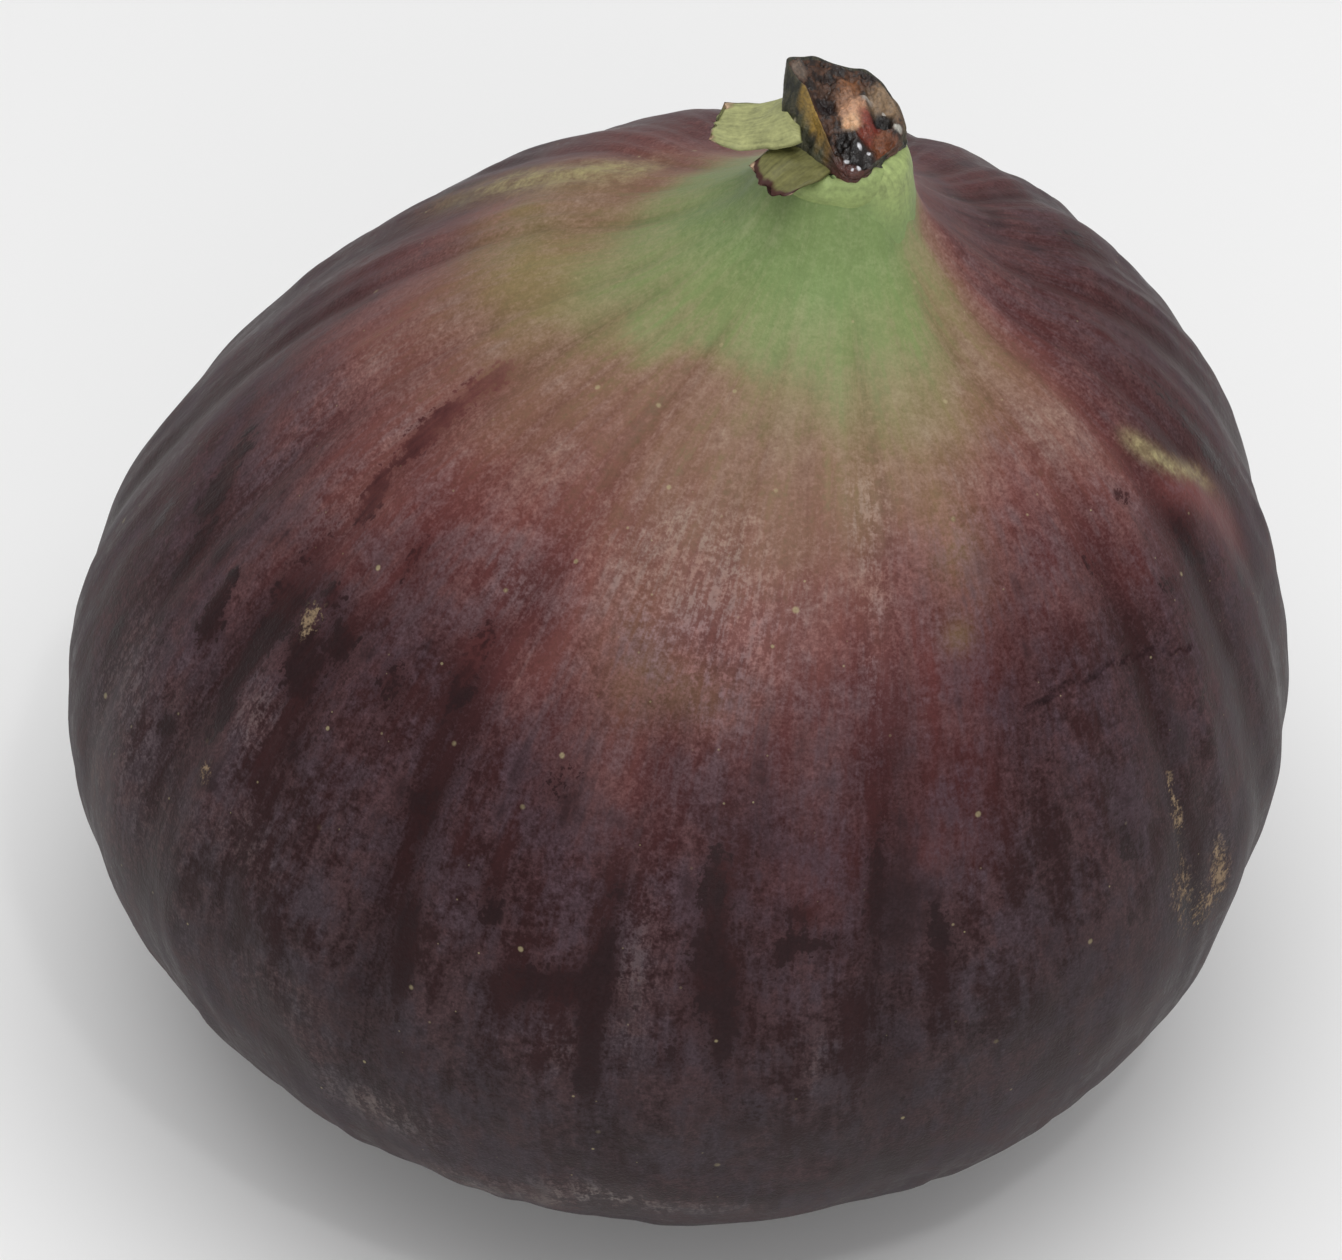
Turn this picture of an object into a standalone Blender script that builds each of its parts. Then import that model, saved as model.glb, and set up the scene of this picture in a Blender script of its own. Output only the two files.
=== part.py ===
"""A whole fresh fig, squat and ribbed, standing on its blossom end.

Three pieces: the fruit (belly, shoulders, neck and the eye underneath), the cut stub of its stalk, and the
collar of basal bracts round the stub's foot. Metres, +Z up. The origin is the middle of the resting face.
Each piece is first made upright round the Z axis in millimetres, and then grows askew with the fruit.
"""
import bpy
import bmesh
import numpy as np

MM = 0.001
GAP = 0.3

# Driving sizes, in millimetres and degrees.
EYE_RADIUS = 4.8
EYE_DEPTH = 1.9
BELLY_RADIUS = 28.6
BELLY_HEIGHT = 22.1
NECK_FOOT_RADIUS = 8.4
NECK_RADIUS = 2.9
TOP = 54.4
LEAN = 3.6
LEAN_HEIGHT = 22.0
NECK_ASIDE = (5.5, 0.6)
NECK_ASIDE_FROM = 16.0
TWIST = 12.0
OVAL = 0.02
OVAL_TURN = -25.0
SETTLED = 0.8
RIB_DEPTH = 0.62
RIB_HALF_WIDTH = 4.0

STEM_RADIUS = 2.95
STEM_HIGH = 3.4
STEM_LOW = 0.7
CUT_TOWARDS = 130.0

BRACT_THICKNESS = 0.66
COLLAR_RADIUS = 3.46
COLLAR_TUBE = 0.34

AROUND = 120

# Where the furrows between the ribs run: azimuth in degrees (0 is +X, -90 the front) and share of the depth.
FURROWS = [
    (-174, 0.7), (-159, 1.0), (-147, 0.5), (-129, 1.0), (-117, 0.3), (-105, 0.7), (-93, 0.5), (-78, 1.0),
    (-60, 0.4), (-42, 0.9), (-27, 1.0), (-15, 0.7), (3, 0.8), (18, 0.5), (36, 0.9), (51, 0.6), (66, 1.0),
    (84, 0.6), (99, 0.9), (117, 0.6), (132, 0.8), (147, 0.6), (162, 1.0),
]


def clear_scene():
    """Removes what the scene holds, so that only the fig is left."""
    for thing in list(bpy.data.objects):
        bpy.data.objects.remove(thing, do_unlink=True)


def collection(name):
    """A collection of this name in the scene."""
    group = bpy.data.collections.new(name)
    bpy.context.scene.collection.children.link(group)
    return group


def material(name, colour, roughness):
    """A plain material of one colour."""
    made = bpy.data.materials.new(name)
    made.use_nodes = True
    shader = made.node_tree.nodes["Principled BSDF"]
    shader.inputs["Base Color"].default_value = (*colour, 1.0)
    shader.inputs["Roughness"].default_value = roughness
    shader.inputs["Metallic"].default_value = 0.0
    made.diffuse_color = (*colour, 1.0)
    return made


def ease(t):
    """Rises softly from 0 to 1."""
    t = np.clip(t, 0.0, 1.0)
    return t * t * (3.0 - 2.0 * t)


def smooth_line(guides, longest):
    """A smooth line through the guide points, in steps no longer than the given length."""
    p = np.asarray(guides, float)
    tangent = np.gradient(p, axis=0)
    line = [p[0]]
    for i in range(len(p) - 1):
        span = np.linalg.norm(p[i + 1] - p[i])
        steps = max(1, int(np.ceil(span / longest)))
        before = np.linalg.norm(p[i] - p[max(i - 1, 0)]) or span
        after = np.linalg.norm(p[min(i + 2, len(p) - 1)] - p[i + 1]) or span
        start = tangent[i] * 2 * span / (span + before)
        end = tangent[i + 1] * 2 * span / (span + after)
        for k in range(1, steps + 1):
            t = k / steps
            line.append((2 * t**3 - 3 * t**2 + 1) * p[i] + (t**3 - 2 * t**2 + t) * start
                        + (3 * t**2 - 2 * t**3) * p[i + 1] + (t**3 - t**2) * end)
    return np.array(line)


def turned(name, profile, around, group):
    """A mesh object turned from a profile of (radius, height) points in millimetres, top to bottom."""
    mesh = bpy.data.meshes.new(name)
    points = [(max(r, 0.0) * MM, 0.0, z * MM) for r, z in profile]
    mesh.from_pydata(points, [(i, i + 1) for i in range(len(points) - 1)], [])
    thing = bpy.data.objects.new(name, mesh)
    group.objects.link(thing)
    screw = thing.modifiers.new("turn", "SCREW")
    screw.angle = 2 * np.pi
    screw.steps = around
    screw.render_steps = around
    screw.use_merge_vertices = True
    screw.merge_threshold = 0.00001
    return settle_modifiers(thing)


def settle_modifiers(thing):
    """Applies the object's modifiers."""
    graph = bpy.context.evaluated_depsgraph_get()
    done = bpy.data.meshes.new_from_object(thing.evaluated_get(graph))
    thing.modifiers.clear()
    thing.data = done
    done.name = thing.name
    return thing


def reshape(thing, rule):
    """Moves every vertex by a rule on x, y and z, all in millimetres."""
    mesh = thing.data
    co = np.empty(len(mesh.vertices) * 3)
    mesh.vertices.foreach_get("co", co)
    x, y, z = co.reshape(-1, 3).T / MM
    mesh.vertices.foreach_set("co", np.column_stack(rule(x, y, z)).ravel() * MM)
    mesh.update()


def furrow_depth(azimuth):
    """How deep the furrows are at an azimuth in radians: 0 on a rib's crest, 1 in the deepest furrow."""
    depth = np.zeros_like(azimuth)
    for where, share in FURROWS:
        off = (azimuth - np.radians(where) + np.pi) % (2 * np.pi) - np.pi
        depth = np.maximum(depth, share * np.exp(-(off / np.radians(RIB_HALF_WIDTH)) ** 2))
    return depth


def ribbed(x, y, z):
    """Gives the turned fruit its oval belly and its furrows, which turn a little on their way down."""
    r = np.hypot(x, y)
    azimuth = np.arctan2(y, x)
    body = ease((r - 6.0) / 12.0)
    oval = 1.0 + OVAL * body * np.cos(2 * (azimuth - np.radians(OVAL_TURN)))
    shoulder = ease((z - 8.0) / 20.0) * (1.0 - ease((z - 47.0) / 6.0))
    below = 0.45 * ease((r - 8.0) / 10.0)
    strength = np.maximum(shoulder, below * (1.0 - ease((z - 30.0) / 12.0)))
    r = r * oval - RIB_DEPTH * strength * (furrow_depth(azimuth) - 0.3) * ease((r - 4.0) / 6.0)
    turn = azimuth + np.radians(TWIST) * (1.0 - ease(z / TOP))
    return r * np.cos(turn), r * np.sin(turn), z


def askew(x, y, z):
    """The way the fig grew: the neck stands to one side of the belly, and the whole fig leans."""
    aside = ease((z - NECK_ASIDE_FROM) / (TOP - NECK_ASIDE_FROM))
    x = x + NECK_ASIDE[0] * aside
    y = y + NECK_ASIDE[1] * aside
    c, s = np.cos(np.radians(LEAN)), np.sin(np.radians(LEAN))
    up = z - LEAN_HEIGHT
    return x * c + up * s, y, LEAN_HEIGHT + up * c - x * s


def make_fruit(group):
    """The fruit, turned from its profile, then ribbed. Its underside is sunk round a shallow eye."""
    guides = [
        (0.0, TOP), (NECK_RADIUS * 0.8, TOP - 0.1), (NECK_RADIUS, TOP - 0.7), (3.4, 52.6), (4.6, 50.6),
        (NECK_FOOT_RADIUS, 47.6), (14.1, 44.9), (20.2, 39.3), (25.5, 31.3),
        (BELLY_RADIUS, BELLY_HEIGHT), (26.8, 12.4), (20.3, 4.9), (11.0, 0.5),
        (EYE_RADIUS, 0.0), (EYE_RADIUS / 2, EYE_DEPTH - 0.4), (0.0, EYE_DEPTH),
    ]
    fruit = turned("fruit", smooth_line(guides, 3.3), AROUND, group)
    reshape(fruit, ribbed)
    return fruit


def cut_height(x, y):
    """How high the slanting cut stands over the stub's foot."""
    towards = np.radians(CUT_TOWARDS)
    slant = 0.5 + 0.5 * (x * np.cos(towards) + y * np.sin(towards)) / STEM_RADIUS
    return STEM_LOW + (STEM_HIGH - STEM_LOW) * slant


def make_stem(group):
    """The stub of the stalk: a short tapering post, cut on the slant and a little shrunken in the middle."""
    profile = [
        (0.0, 0.86), (1.1, 0.88), (2.1, 0.97), (2.55, 1.0), (2.75, 0.93), (2.85, 0.5), (STEM_RADIUS, 0.15),
        (STEM_RADIUS - 0.1, 0.0), (0.0, 0.0),
    ]
    stem = turned("stem", profile, 32, group)

    def cut(x, y, z):
        azimuth = np.arctan2(y, x)
        r = np.hypot(x, y) * (1.0 + 0.03 * np.cos(3 * azimuth + 0.6) + 0.025 * np.cos(5 * azimuth + 2.0) * z)
        high = z * cut_height(r * np.cos(azimuth), r * np.sin(azimuth))
        return r * np.cos(azimuth) - 0.06 * high, r * np.sin(azimuth), TOP + GAP + 0.05 + high

    reshape(stem, cut)
    return stem


def blade(name, azimuth, path, half_width, ragged, group):
    """One bract as a bent blade. Its path is (radius, height) from root to tip, half_width in millimetres."""
    line = smooth_line(path, 0.9)
    along = np.linspace(0.0, 1.0, len(line))
    across = np.linspace(-1.0, 1.0, 9)
    width = half_width * (1.0 - 0.38 * along**2)
    points = []
    for i, (r, z) in enumerate(line):
        for s in across:
            turn = np.radians(azimuth) + s * width[i] / max(r, 1.0)
            torn = ragged * along[i] * (0.5 * np.sin(7.0 * s + 1.0) + 0.5 * np.sin(3.0 * s))
            reach = r + torn
            cupped = 0.25 * s * s * along[i]
            points.append((reach * np.cos(turn) * MM, reach * np.sin(turn) * MM, (z + cupped) * MM))
    wide = len(across)
    faces = [(i * wide + j, i * wide + j + 1, (i + 1) * wide + j + 1, (i + 1) * wide + j)
             for i in range(len(line) - 1) for j in range(wide - 1)]
    mesh = bpy.data.meshes.new(name)
    mesh.from_pydata(points, [], faces)
    thing = bpy.data.objects.new(name, mesh)
    group.objects.link(thing)
    solid = thing.modifiers.new("thickness", "SOLIDIFY")
    solid.thickness = BRACT_THICKNESS * MM
    solid.offset = 0.0
    solid.use_even_offset = True
    settle_modifiers(thing)
    work = bmesh.new()
    work.from_mesh(thing.data)
    bmesh.ops.recalc_face_normals(work, faces=work.faces)
    work.to_mesh(thing.data)
    work.free()
    return thing


def make_bracts(group, helpers):
    """The collar of bracts: a ring round the stub's foot with three scales grown into it."""
    ring_height = TOP - 0.1
    tube = [(COLLAR_RADIUS + COLLAR_TUBE * np.sin(a), ring_height + COLLAR_TUBE * np.cos(a))
            for a in np.linspace(0.0, 2 * np.pi, 9)]
    bracts = turned("bracts", tube, 48, group)
    root = (COLLAR_RADIUS, ring_height)
    blade("bract_left", 171.0, [root, (4.6, TOP + 0.05), (5.7, TOP + 0.25)], 1.8, 0.25, helpers)
    blade("bract_front", -146.0, [root, (4.25, TOP - 0.15), (4.95, TOP - 0.45)], 1.7, 0.2, helpers)
    blade("bract_right", -48.0, [root, (4.0, TOP - 1.1), (4.55, TOP - 2.4)], 2.8, 0.1, helpers)
    union = bracts.modifiers.new("grown together", "BOOLEAN")
    union.operation = "UNION"
    union.operand_type = "COLLECTION"
    union.collection = helpers
    union.solver = "EXACT"
    settle_modifiers(bracts)
    for thing in list(helpers.objects):
        bpy.data.objects.remove(thing, do_unlink=True)
    return bracts


def stand(things):
    """Lowers the fig so that it rests on a small flat, and puts the middle of its box over the origin."""
    for thing in things:
        reshape(thing, askew)
    corners = []
    for thing in things:
        co = np.empty(len(thing.data.vertices) * 3)
        thing.data.vertices.foreach_get("co", co)
        corners.append(co.reshape(-1, 3) / MM)
    every = np.concatenate(corners)
    floor = every[:, 2].min() + SETTLED
    middle = (every.min(axis=0) + every.max(axis=0)) / 2
    for thing in things:
        reshape(thing, lambda x, y, z: (x - middle[0], y - middle[1], np.maximum(z - floor, 0.0)))


def finish(thing, surface):
    """Gives the object its material and smooth shading with sharp edges kept."""
    thing.data.materials.clear()
    thing.data.materials.append(surface)
    thing.data.shade_smooth()
    thing.data.set_sharp_from_angle(angle=np.radians(40.0))


clear_scene()
fig = collection("fresh_fig")
scales = collection("bract_blades")
fruit = make_fruit(fig)
stem = make_stem(fig)
bracts = make_bracts(fig, scales)
stand([fruit, stem, bracts])
finish(fruit, material("fig_skin", (0.075, 0.047, 0.055), 0.42))
finish(stem, material("stem_cut", (0.055, 0.034, 0.018), 0.4))
finish(bracts, material("bract_green", (0.38, 0.40, 0.17), 0.55))
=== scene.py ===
# %% [markdown]
# # A whole fresh fig
#
# A fig is a soft sack of flesh hung from a short neck. Its skin shows twenty-odd ribs that run down from the
# stalk, green at the neck, rosy at the shoulder and nearly black below, under a thin grey bloom.
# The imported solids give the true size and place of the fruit, the cut stalk and the little collar of bracts.
# This lesson dresses each of them with a finer surface, worked out from formulas with numpy, and paints them
# with noise and a few masks. Lengths are in millimetres until a mesh is made, and metres from there.

import bpy
import numpy as np
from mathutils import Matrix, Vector


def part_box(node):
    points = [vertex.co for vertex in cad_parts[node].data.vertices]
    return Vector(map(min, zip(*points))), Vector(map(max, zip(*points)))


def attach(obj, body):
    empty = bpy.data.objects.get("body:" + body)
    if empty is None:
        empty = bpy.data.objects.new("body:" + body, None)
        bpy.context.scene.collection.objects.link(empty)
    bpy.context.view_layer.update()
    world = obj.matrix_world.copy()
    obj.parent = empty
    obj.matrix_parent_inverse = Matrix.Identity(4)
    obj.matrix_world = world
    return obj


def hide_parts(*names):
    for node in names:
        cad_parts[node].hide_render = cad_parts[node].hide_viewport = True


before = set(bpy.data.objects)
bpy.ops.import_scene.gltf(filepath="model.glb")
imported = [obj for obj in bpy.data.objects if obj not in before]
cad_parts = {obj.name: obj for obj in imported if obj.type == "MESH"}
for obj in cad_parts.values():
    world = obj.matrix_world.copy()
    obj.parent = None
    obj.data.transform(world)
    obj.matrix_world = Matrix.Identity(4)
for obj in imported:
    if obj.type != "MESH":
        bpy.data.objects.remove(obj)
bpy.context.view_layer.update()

# %% [markdown]
# ## Camera
#
# The fig is seen from well above the table, with its neck leaning to the viewer's right. A long lens from a
# third of a metre keeps the perspective as gentle as in a product picture. The camera could be aimed by hand;
# here it is placed by its height angle and distance, so that both can be read off.

# %% Camera
ELEVATION = np.radians(44.0)
DISTANCE = 0.35
AIM = Vector((-0.0003, 0.0, 0.0241))
camera_data = bpy.data.cameras.new("camera")
camera_data.lens = 196.0
camera_data.sensor_fit = "HORIZONTAL"
camera_data.sensor_width = 36.0
camera = bpy.data.objects.new("camera", camera_data)
bpy.context.scene.collection.objects.link(camera)
away = Vector((0.0, -np.cos(ELEVATION), np.sin(ELEVATION)))
camera.location = AIM + DISTANCE * away
camera.rotation_euler = (-away).to_track_quat("-Z", "Y").to_euler()
camera_data.clip_start, camera_data.clip_end = 0.01, 20.0
bpy.context.scene.camera = camera

# %% [markdown]
# ## Light and floor
#
# A satin skin shows its form by broad, soft light: a pale room all round, which also gives the grey sheen at
# the fruit's edges, one large panel above, and a weaker one in front. Low on the belly's left and right more
# of that sheen is painted, as a paler bloom in the skin's colour. Strong small lamps would put hard
# highlights on it that a fig doesn't have, so the one small lamp is weak: it adds only faint glints to the
# wet cut, whose bright sparkles are painted highlights in the stalk's colour.

# %% Light and floor
world = bpy.data.worlds.new("pale room")
world.use_nodes = True
background = world.node_tree.nodes["Background"]
background.inputs["Color"].default_value = (1.0, 1.0, 1.0, 1.0)
background.inputs["Strength"].default_value = 0.5
bpy.context.scene.world = world
bpy.context.scene.view_settings.view_transform = "Standard"


def panel(name, place, size, power):
    """A square lamp of the given side at a place in metres, aimed at the middle of the fig."""
    lamp = bpy.data.lights.new(name, "AREA")
    lamp.size, lamp.energy = size, power
    thing = bpy.data.objects.new(name, lamp)
    thing.location = place
    thing.rotation_euler = (Vector(place) - AIM).to_track_quat("Z", "Y").to_euler()
    bpy.context.scene.collection.objects.link(thing)


panel("panel above", (0.03, -0.08, 0.6), 0.5, 1.9)
panel("panel in front", (0.12, -0.6, 0.35), 0.4, 0.6)
panel("window", (0.1, -0.28, 0.55), 0.03, 0.22)

# The floor lies a hair under the fig's flat, so that the two faces don't share one plane
HALF, LEVEL = 3.0, -0.00005
corners = [(x, y, LEVEL) for x, y in ((-HALF, -HALF), (HALF, -HALF), (HALF, HALF), (-HALF, HALF))]
floor_mesh = bpy.data.meshes.new("floor")
floor_mesh.from_pydata(corners, [], [(0, 1, 2, 3)])
floor = bpy.data.objects.new("floor", floor_mesh)
bpy.context.scene.collection.objects.link(floor)
floor_paint = bpy.data.materials.new("floor")
floor_paint.use_nodes = True
floor_shader = floor_paint.node_tree.nodes["Principled BSDF"]
floor_shader.inputs["Base Color"].default_value = (0.9, 0.9, 0.9, 1.0)
floor_shader.inputs["Roughness"].default_value = 0.9
floor_mesh.materials.append(floor_paint)
print("lamps", len(bpy.data.lights), "floor", 2 * HALF, "m wide")

# %% [markdown]
# ## The fig's own sizes
#
# The same few sizes as in the solids: the outline from neck to eye, the furrows round it, how the fruit is
# turned, set aside and leant. Repeating the formula, and not the mesh, lets the surface be as fine as it
# needs to be.

# %% Sizes of the fruit
# Lengths in millimetres, angles in degrees
TOP = 54.4
NECK_RADIUS = 2.9
LEAN = 3.6
LEAN_HEIGHT = 22.0
NECK_ASIDE = (5.5, 0.6)
NECK_ASIDE_FROM = 16.0
TWIST = 12.0
OVAL = 0.02
OVAL_TURN = -25.0
FURROW_DEPTH = 0.4
FURROW_HALF_WIDTH = 4.6
FURROW_MEAN = 0.3
OUTLINE = [
    # radius and height in mm, from the neck's top down to the eye's floor
    (0.0, TOP), (NECK_RADIUS * 0.8, TOP - 0.1), (NECK_RADIUS, TOP - 0.7), (3.4, 52.6), (4.6, 50.6),
    (8.4, 47.6), (14.1, 44.9), (20.2, 39.3), (25.5, 31.3),
    (28.6, 22.1), (26.8, 12.4), (20.3, 4.9), (11.0, 0.5),
    (4.8, 0.0), (2.4, 1.5), (0.0, 1.9),
]
FURROWS = np.array([
    # azimuth in degrees, share of the full depth
    (-174, 0.7), (-159, 1.0), (-147, 0.5), (-129, 1.0), (-117, 0.3), (-105, 0.7), (-93, 0.5), (-78, 1.0),
    (-60, 0.4), (-42, 0.9), (-27, 1.0), (-15, 0.7), (3, 0.8), (18, 0.5), (36, 0.9), (51, 0.6), (66, 1.0),
    (84, 0.6), (99, 0.9), (117, 0.6), (132, 0.8), (147, 0.6), (162, 1.0),
])


def ease(t):
    """Rises softly from 0 to 1: three t squared less two t cubed."""
    t = np.clip(t, 0.0, 1.0)
    return t * t * (3.0 - 2.0 * t)


def turned_from(azimuth, degrees):
    """The angle in radians from a direction in degrees to an azimuth, between minus and plus half a turn."""
    return (azimuth - np.radians(degrees) + np.pi) % (2 * np.pi) - np.pi


def smooth_line(guides, longest):
    """Cubic pieces through the guide points, each joined to the next with a shared slope."""
    p = np.asarray(guides, float)
    slope = np.gradient(p, axis=0)
    line = [p[:1]]
    for i in range(len(p) - 1):
        span = np.linalg.norm(p[i + 1] - p[i])
        before = np.linalg.norm(p[i] - p[max(i - 1, 0)]) or span
        after = np.linalg.norm(p[min(i + 2, len(p) - 1)] - p[i + 1]) or span
        start = slope[i] * 2 * span / (span + before)
        end = slope[i + 1] * 2 * span / (span + after)
        t = np.linspace(0, 1, max(1, int(np.ceil(span / longest))) + 1)[1:, None]
        line.append((2 * t**3 - 3 * t**2 + 1) * p[i] + (t**3 - 2 * t**2 + t) * start
                    + (3 * t**2 - 2 * t**3) * p[i + 1] + (t**3 - t**2) * end)
    return np.concatenate(line)


LINE = smooth_line(OUTLINE, 0.1)
RUN = np.r_[0.0, np.cumsum(np.linalg.norm(np.diff(LINE, axis=0), axis=1))]
print("length of the outline from neck to eye, mm:", round(float(RUN[-1]), 1))

# %% [markdown]
# ## Waves for chance shapes
#
# Growth isn't regular. Small lumps could come from a noise modifier, but then they'd change with the mesh.
# A sum of a few dozen plane waves with seeded directions gives the same soft chance pattern at any fineness,
# and has no seam.

# %% Chance waves
def waves(points, size, seed, count=28):
    """A soft chance pattern, about -1 to 1, at points in mm: plane waves in chance directions."""
    rng = np.random.default_rng(seed)
    way = rng.normal(size=(count, 3))
    way *= 2 * np.pi / (size * np.linalg.norm(way, axis=1, keepdims=True))
    way *= rng.uniform(0.7, 1.4, (count, 1))
    phase = rng.uniform(0, 2 * np.pi, count)
    flat = points.reshape(-1, 3)
    total = np.zeros(len(flat))
    for k in range(count):
        total += np.cos(flat @ way[k] + phase[k])
    return (total * np.sqrt(2.0 / count) / 1.6).reshape(points.shape[:-1])


# %% [markdown]
# ## The fruit's surface
#
# The surface is the outline carried round the axis. Its radius is then let in along each furrow, the belly
# made slightly oval, the whole given a slow turn, and the neck set to one side before the fruit leans. The
# fine surface adds what the solids are too coarse for: a crease down the middle of each furrow, faint ribs
# between them, shallow lumps, folds on the neck, and the puckers round the eye.

# %% Fruit surface
def furrow_depth(azimuth, half_width):
    """0 on a rib's crest, up to 1 in a furrow: the deepest of bell curves, one at each furrow's azimuth."""
    depth = np.zeros_like(azimuth)
    for where, share in FURROWS:
        off = turned_from(azimuth, where) / np.radians(half_width)
        depth = np.maximum(depth, share * np.exp(-off ** 2))
    return depth


def furrow_strength(r, z):
    """How strongly the furrows show: most on the shoulder, half of it on the belly, none at neck and eye."""
    shoulder = ease((z - 8.0) / 20.0) * (1.0 - ease((z - 47.0) / 6.0))
    below = 0.45 * ease((r - 8.0) / 10.0) * (1.0 - ease((z - 30.0) / 12.0))
    return np.maximum(shoulder, below) * ease((r - 4.0) / 6.0)


def askew(x, y, z):
    """Moves the neck aside with height, then leans the fig about a level in its belly."""
    aside = ease((z - NECK_ASIDE_FROM) / (TOP - NECK_ASIDE_FROM))
    x, y = x + NECK_ASIDE[0] * aside, y + NECK_ASIDE[1] * aside
    c, s = np.cos(np.radians(LEAN)), np.sin(np.radians(LEAN))
    up = z - LEAN_HEIGHT
    return np.stack([x * c + up * s, y, LEAN_HEIGHT + up * c - x * s], axis=-1)


def upright_skin(azimuth, r, z, lift=0.0):
    """The skin before it grows askew: an oval belly, furrows let in, and a slow turn from neck to eye."""
    body = ease((r - 6.0) / 12.0)
    oval = 1.0 + OVAL * body * np.cos(2 * (azimuth - np.radians(OVAL_TURN)))
    furrow = furrow_depth(azimuth, FURROW_HALF_WIDTH) - FURROW_MEAN
    r = r * oval - FURROW_DEPTH * furrow_strength(r, z) * furrow + lift
    turn = azimuth + np.radians(TWIST) * (1.0 - ease(z / TOP))
    return r * np.cos(turn), r * np.sin(turn), z


def neck_folds(azimuth):
    """A dozen uneven folds round the neck: 1 on a fold's back, -1 between two."""
    return np.cos(12 * azimuth + 0.4 + 0.6 * np.sin(2 * azimuth))


def fine_relief(azimuth, r, z, place):
    """The sum in mm of creases, faint ribs, lumps, neck folds and the eye's puckers, each faded by height."""
    strength = furrow_strength(r, z)
    crease = -0.05 * strength * furrow_depth(azimuth, 1.4)
    wander = 0.05 * waves(place, 14.0, 3)
    faint = 0.03 * np.cos(61 * azimuth + 9 * wander) + 0.025 * np.cos(83 * azimuth + 2.0 + 14 * wander)
    faint *= ease((r - 5.0) / 8.0) * (0.55 + 0.45 * waves(place, 8.0, 4))
    lumps = 0.10 * waves(place, 11.0, 5) + 0.03 * waves(place, 4.2, 6) + 0.012 * waves(place, 1.9, 7)
    lumps *= ease((r - 2.0) / 9.0)
    pucker = 0.16 * np.cos(15 * azimuth + 0.7 * np.sin(3 * azimuth)) * ease((9.0 - r) / 4.0) * ease(r / 2.5)
    folds = 0.07 * np.cos(7 * azimuth + 1.2) + 0.045 * neck_folds(azimuth)
    folds *= ease((z - 45.0) / 3.0) * (1.0 - ease((z - 51.5) / 2.0))
    return crease + faint + lumps + folds + pucker * (z < 10.0)


# %% [markdown]
# ## Grids into meshes
#
# Every new piece is a stack of rings, each with the same number of points. Joining neighbours gives
# four-sided faces, and a fan closes each end, so that no hole is left at the poles. Values laid on the points
# go with the mesh, and the materials read them later.

# %% Mesh from rings
def add_piece(name, points, faces, fields):
    """An object at the origin from points in mm and faces. A field is one value, or three, for each point."""
    mesh = bpy.data.meshes.new(name)
    mesh.from_pydata((points.reshape(-1, 3) * 0.001).tolist(), [], faces)
    for label, values in fields.items():
        kind, key = ("FLOAT_VECTOR", "vector") if values.size == points.size else ("FLOAT", "value")
        mesh.attributes.new(label, kind, "POINT").data.foreach_set(key, values.ravel())
    mesh.shade_smooth()
    thing = bpy.data.objects.new(name, mesh)
    bpy.context.scene.collection.objects.link(thing)
    print(name, "faces", len(mesh.polygons))
    return thing


def mesh_from_rings(name, rings, fields):
    """A closed mesh from rings of points in mm, first ring lowest, for one piece or a whole stack of pieces.

    Each ring is joined to the next by four-sided faces, and a fan to the middle of the first and last ring
    closes the ends.
    """
    pieces = int(np.prod(rings.shape[:-3]))
    count, around = rings.shape[-3:-1]

    def with_ends(field):
        """Adds the middles of the first and last ring to each piece's list of values."""
        field = field.reshape((pieces, count, around, -1))
        flat = field.reshape((pieces, count * around, -1))
        return np.concatenate([flat, field[:, :1].mean(axis=2), field[:, -1:].mean(axis=2)], axis=1)

    i, j = np.meshgrid(np.arange(count - 1), np.arange(around), indexing="ij")
    here, beside = i * around + j, i * around + (j + 1) % around
    quads = np.stack([here, beside, beside + around, here + around], -1).reshape(-1, 4)
    last = (count - 1) * around
    pole = np.full(around, count * around)
    low = np.stack([beside[0], here[0], pole], -1)
    high = np.stack([last + here[0], last + beside[0], pole + 1], -1)
    starts = (np.arange(pieces) * (count * around + 2))[:, None, None]
    faces = [(part[None] + starts).reshape(-1, part.shape[1]).tolist() for part in (quads, low, high)]
    laid = {label: with_ends(field) for label, field in fields.items()}
    return add_piece(name, with_ends(rings), faces[0] + faces[1] + faces[2], laid)


# %% [markdown]
# ## Where the colours lie
#
# A fig ripens from the eye upwards, so its colours follow height above the table more than anything else,
# and each side is a little ahead or behind. The field ripe runs from 0 in the green to 1 at the dark base. It
# is worked out from four heights at each azimuth: where green ends, where rose, plum and the darkest tone
# begin. Other fields say where the bloom is rubbed off, where it lies thick, and where scabs and pale streaks
# are. One broad patch among the rubbed ones is painted shade on the belly's lower front, and two broad
# ones among the thick ones are painted sheen low on its left and right. Each is a sum of soft patches, put
# down by azimuth and height. The shader adds the fine edges.

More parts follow.
